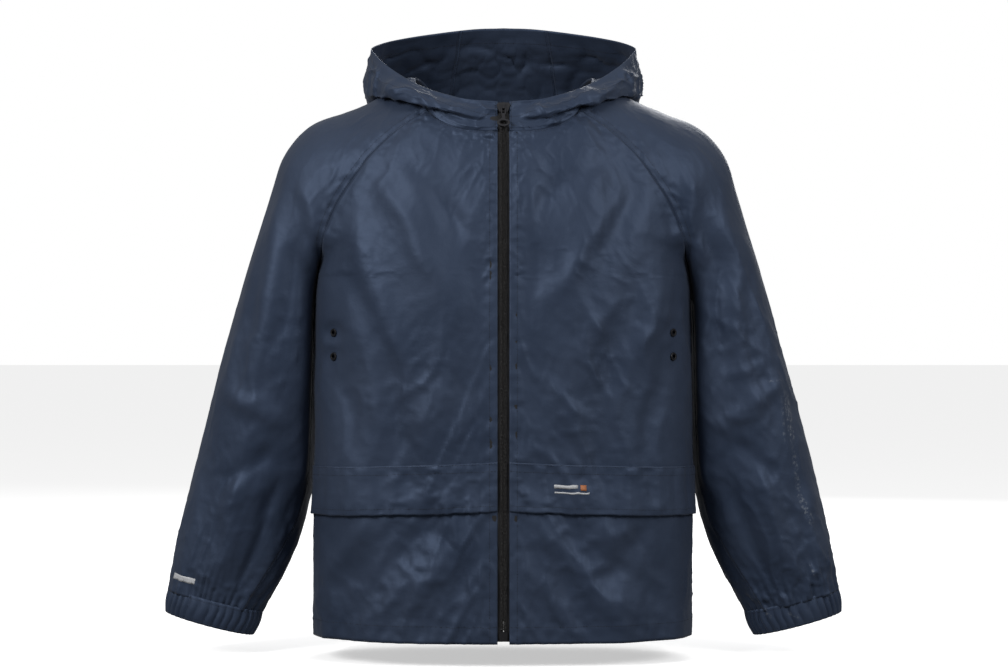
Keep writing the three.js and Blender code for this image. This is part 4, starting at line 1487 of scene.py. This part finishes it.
@dataclass
class Zip:
    """The zip's tapes, coil, slider, pull and box, and the eyelets."""

    tooth_pitch: float = 1.55
    body: str = "jacket"

    def build(self) -> None:
        """Dresses the hard pieces and makes the coil's turns."""
        tape = PlainFinish("zip_tape", (0.010, 0.010, 0.012), 0.8).build()
        coil = PlainFinish("zip_coil", (0.014, 0.013, 0.013), 0.45).build()
        metal = PlainFinish("dark_metal", (0.075, 0.075, 0.082), 0.36, 1.0).build()
        for name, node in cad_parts.items():
            finish = tape if "tape" in name else metal
            if name.startswith("zip_coil"):
                self.add_coil(name, node, coil)
            elif name.startswith(("zip", "eyelet")):
                for slot in node.material_slots:
                    slot.material = finish
                log.info("dressed %s", name)

    def add_coil(self, name: str, node: bpy.types.Object, finish: Material) -> None:
        """One side of the coil as a row of rounded turns on the node's own line.

        Args:
            name: The coil's node.
            node: Its object.
            finish: Its material.
        """
        verts = np.array([v.co[:] for v in node.data.vertices]) / MM
        heights = np.arange(verts[:, 2].min() + 1, verts[:, 2].max() - 0.5, self.tooth_pitch)
        order = np.argsort(verts[:, 2])
        levels = np.unique(np.round(verts[order, 2], 0))
        fronts = np.array([verts[np.abs(verts[:, 2] - z) < 3, 1].min() for z in levels])
        inner, outer = np.abs(verts[:, 0]).min(), np.abs(verts[:, 0]).max()
        sign = np.sign(verts[:, 0].mean())
        shift = 0.0 if sign > 0 else self.tooth_pitch / 2
        ring = np.linspace(0, 2 * np.pi, 8, endpoint=False)
        points, faces = [], []
        for k, z in enumerate(heights + shift):
            y = np.interp(z, levels, fronts)
            for x, tight in ((-0.3, 0.55), (inner + 0.9, 1.0), (outer, 0.8)):
                for a in ring:
                    deep = y + 1.2 - 1.2 * tight * math.cos(a)
                    points.append([sign * x, deep, z + 0.62 * tight * math.sin(a)])
            base = 24 * k
            for first in (base, base + 8):
                for i, j in ((i, (i + 1) % 8) for i in range(8)):
                    faces.append([first + i, first + j, first + 8 + j, first + 8 + i])
            faces += [[base + 7 - i for i in range(8)], [base + 16 + i for i in range(8)]]
        piece = mesh_object(name + "_turns", np.array(points), faces, finish)
        fix_normals(piece)
        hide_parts(name)
        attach(piece, self.body)


def fix_normals(piece: bpy.types.Object) -> None:
    """Turns a closed piece's faces outwards.

    Args:
        piece: The piece.
    """
    for other in bpy.context.selected_objects:
        other.select_set(False)
    piece.select_set(True)
    bpy.context.view_layer.objects.active = piece
    bpy.ops.object.mode_set(mode="EDIT")
    bpy.ops.mesh.select_all(action="SELECT")
    bpy.ops.mesh.normals_make_consistent(inside=False)
    bpy.ops.object.mode_set(mode="OBJECT")


@dataclass(frozen=True)
class Studio:
    """A pale floor, soft light and the camera."""

    distance: float = 3.0
    eye: float = -0.301
    lens: float = 89.3
    floor: float = -0.684
    low_sky: float = 0.15
    high_sky: float = 0.42

    def build(self) -> None:
        """Makes the floor, the lights and the camera."""
        for other in bpy.context.selected_objects:
            other.select_set(False)
        bpy.ops.mesh.primitive_plane_add(size=60, location=(0, 0, self.floor))
        ground = bpy.context.active_object
        ground.name = "floor"
        material, _, shader = new_material("pale_floor")
        shader.inputs["Base Color"].default_value = (0.93, 0.93, 0.93, 1)
        shader.inputs["Roughness"].default_value = 1.0
        shader.inputs["Specular IOR Level"].default_value = 0.0
        shader.inputs["Emission Color"].default_value = (1, 1, 1, 1)
        shader.inputs["Emission Strength"].default_value = 0.52
        ground.data.materials.append(material)
        ground.visible_diffuse = False
        ground.visible_glossy = False
        bpy.context.scene.world = self.sky()
        self.light("key", (-1.45, -1.6, 0.8), 0.9, 34)
        self.light("fill", (1.6, -1.5, 0.7), 0.9, 22)
        self.light("behind", (0.6, 2.2, 0.9), 1.4, 30)
        camera = bpy.data.objects.new("camera", bpy.data.cameras.new("camera"))
        camera.data.lens = self.lens
        camera.data.sensor_width = 36
        camera.location = (0.0006, -self.distance, self.eye)
        camera.rotation_euler = (math.pi / 2, 0, 0)
        bpy.context.collection.objects.link(camera)
        bpy.context.scene.camera = camera
        bpy.context.scene.view_settings.view_transform = "Standard"

    def sky(self) -> bpy.types.World:
        """A white backdrop whose light comes mostly from above.

        Returns:
            The world.
        """
        world = bpy.data.worlds.new("studio")
        world.use_nodes = True
        nodes, links = world.node_tree.nodes, world.node_tree.links
        toward = nodes.new("ShaderNodeTexCoord").outputs["Generated"]
        split = nodes.new("ShaderNodeSeparateXYZ")
        links.new(toward, split.inputs["Vector"])
        height = nodes.new("ShaderNodeMapRange")
        height.interpolation_type = "SMOOTHSTEP"
        height.inputs["From Min"].default_value = -0.05
        height.inputs["From Max"].default_value = 0.75
        height.inputs["To Min"].default_value = self.low_sky
        height.inputs["To Max"].default_value = self.high_sky
        links.new(split.outputs["Z"], height.inputs["Value"])
        seen = nodes.new("ShaderNodeMath")
        seen.operation = "MAXIMUM"
        links.new(nodes.new("ShaderNodeLightPath").outputs["Is Camera Ray"], seen.inputs[0])
        links.new(height.outputs["Result"], seen.inputs[1])
        background = nodes["Background"]
        background.inputs["Color"].default_value = (1, 1, 1, 1)
        links.new(seen.outputs["Value"], background.inputs["Strength"])
        return world

    def light(self, name: str, place: tuple, size: float, power: float) -> None:
        """A soft square light aimed at the chest.

        Args:
            name: The light's name.
            place: Where it stands.
            size: Its side, in metres.
            power: Its power, in watts.
        """
        made = bpy.data.objects.new(name, bpy.data.lights.new(name, "AREA"))
        made.data.size = size
        made.data.energy = power
        made.location = place
        made.visible_camera = False
        x, y, z = (p - q for p, q in zip(place, (0, 0, -0.3)))
        made.rotation_euler = (math.atan2(math.hypot(x, y), z), 0, math.atan2(x, -y))
        bpy.context.collection.objects.link(made)


def main() -> None:
    """Builds the studio, the jacket's cloth and the zip."""
    logging.basicConfig(level=logging.INFO)
    Studio().build()
    Garment().build()
    Zip().build()


if __name__ == "__main__":
    main()
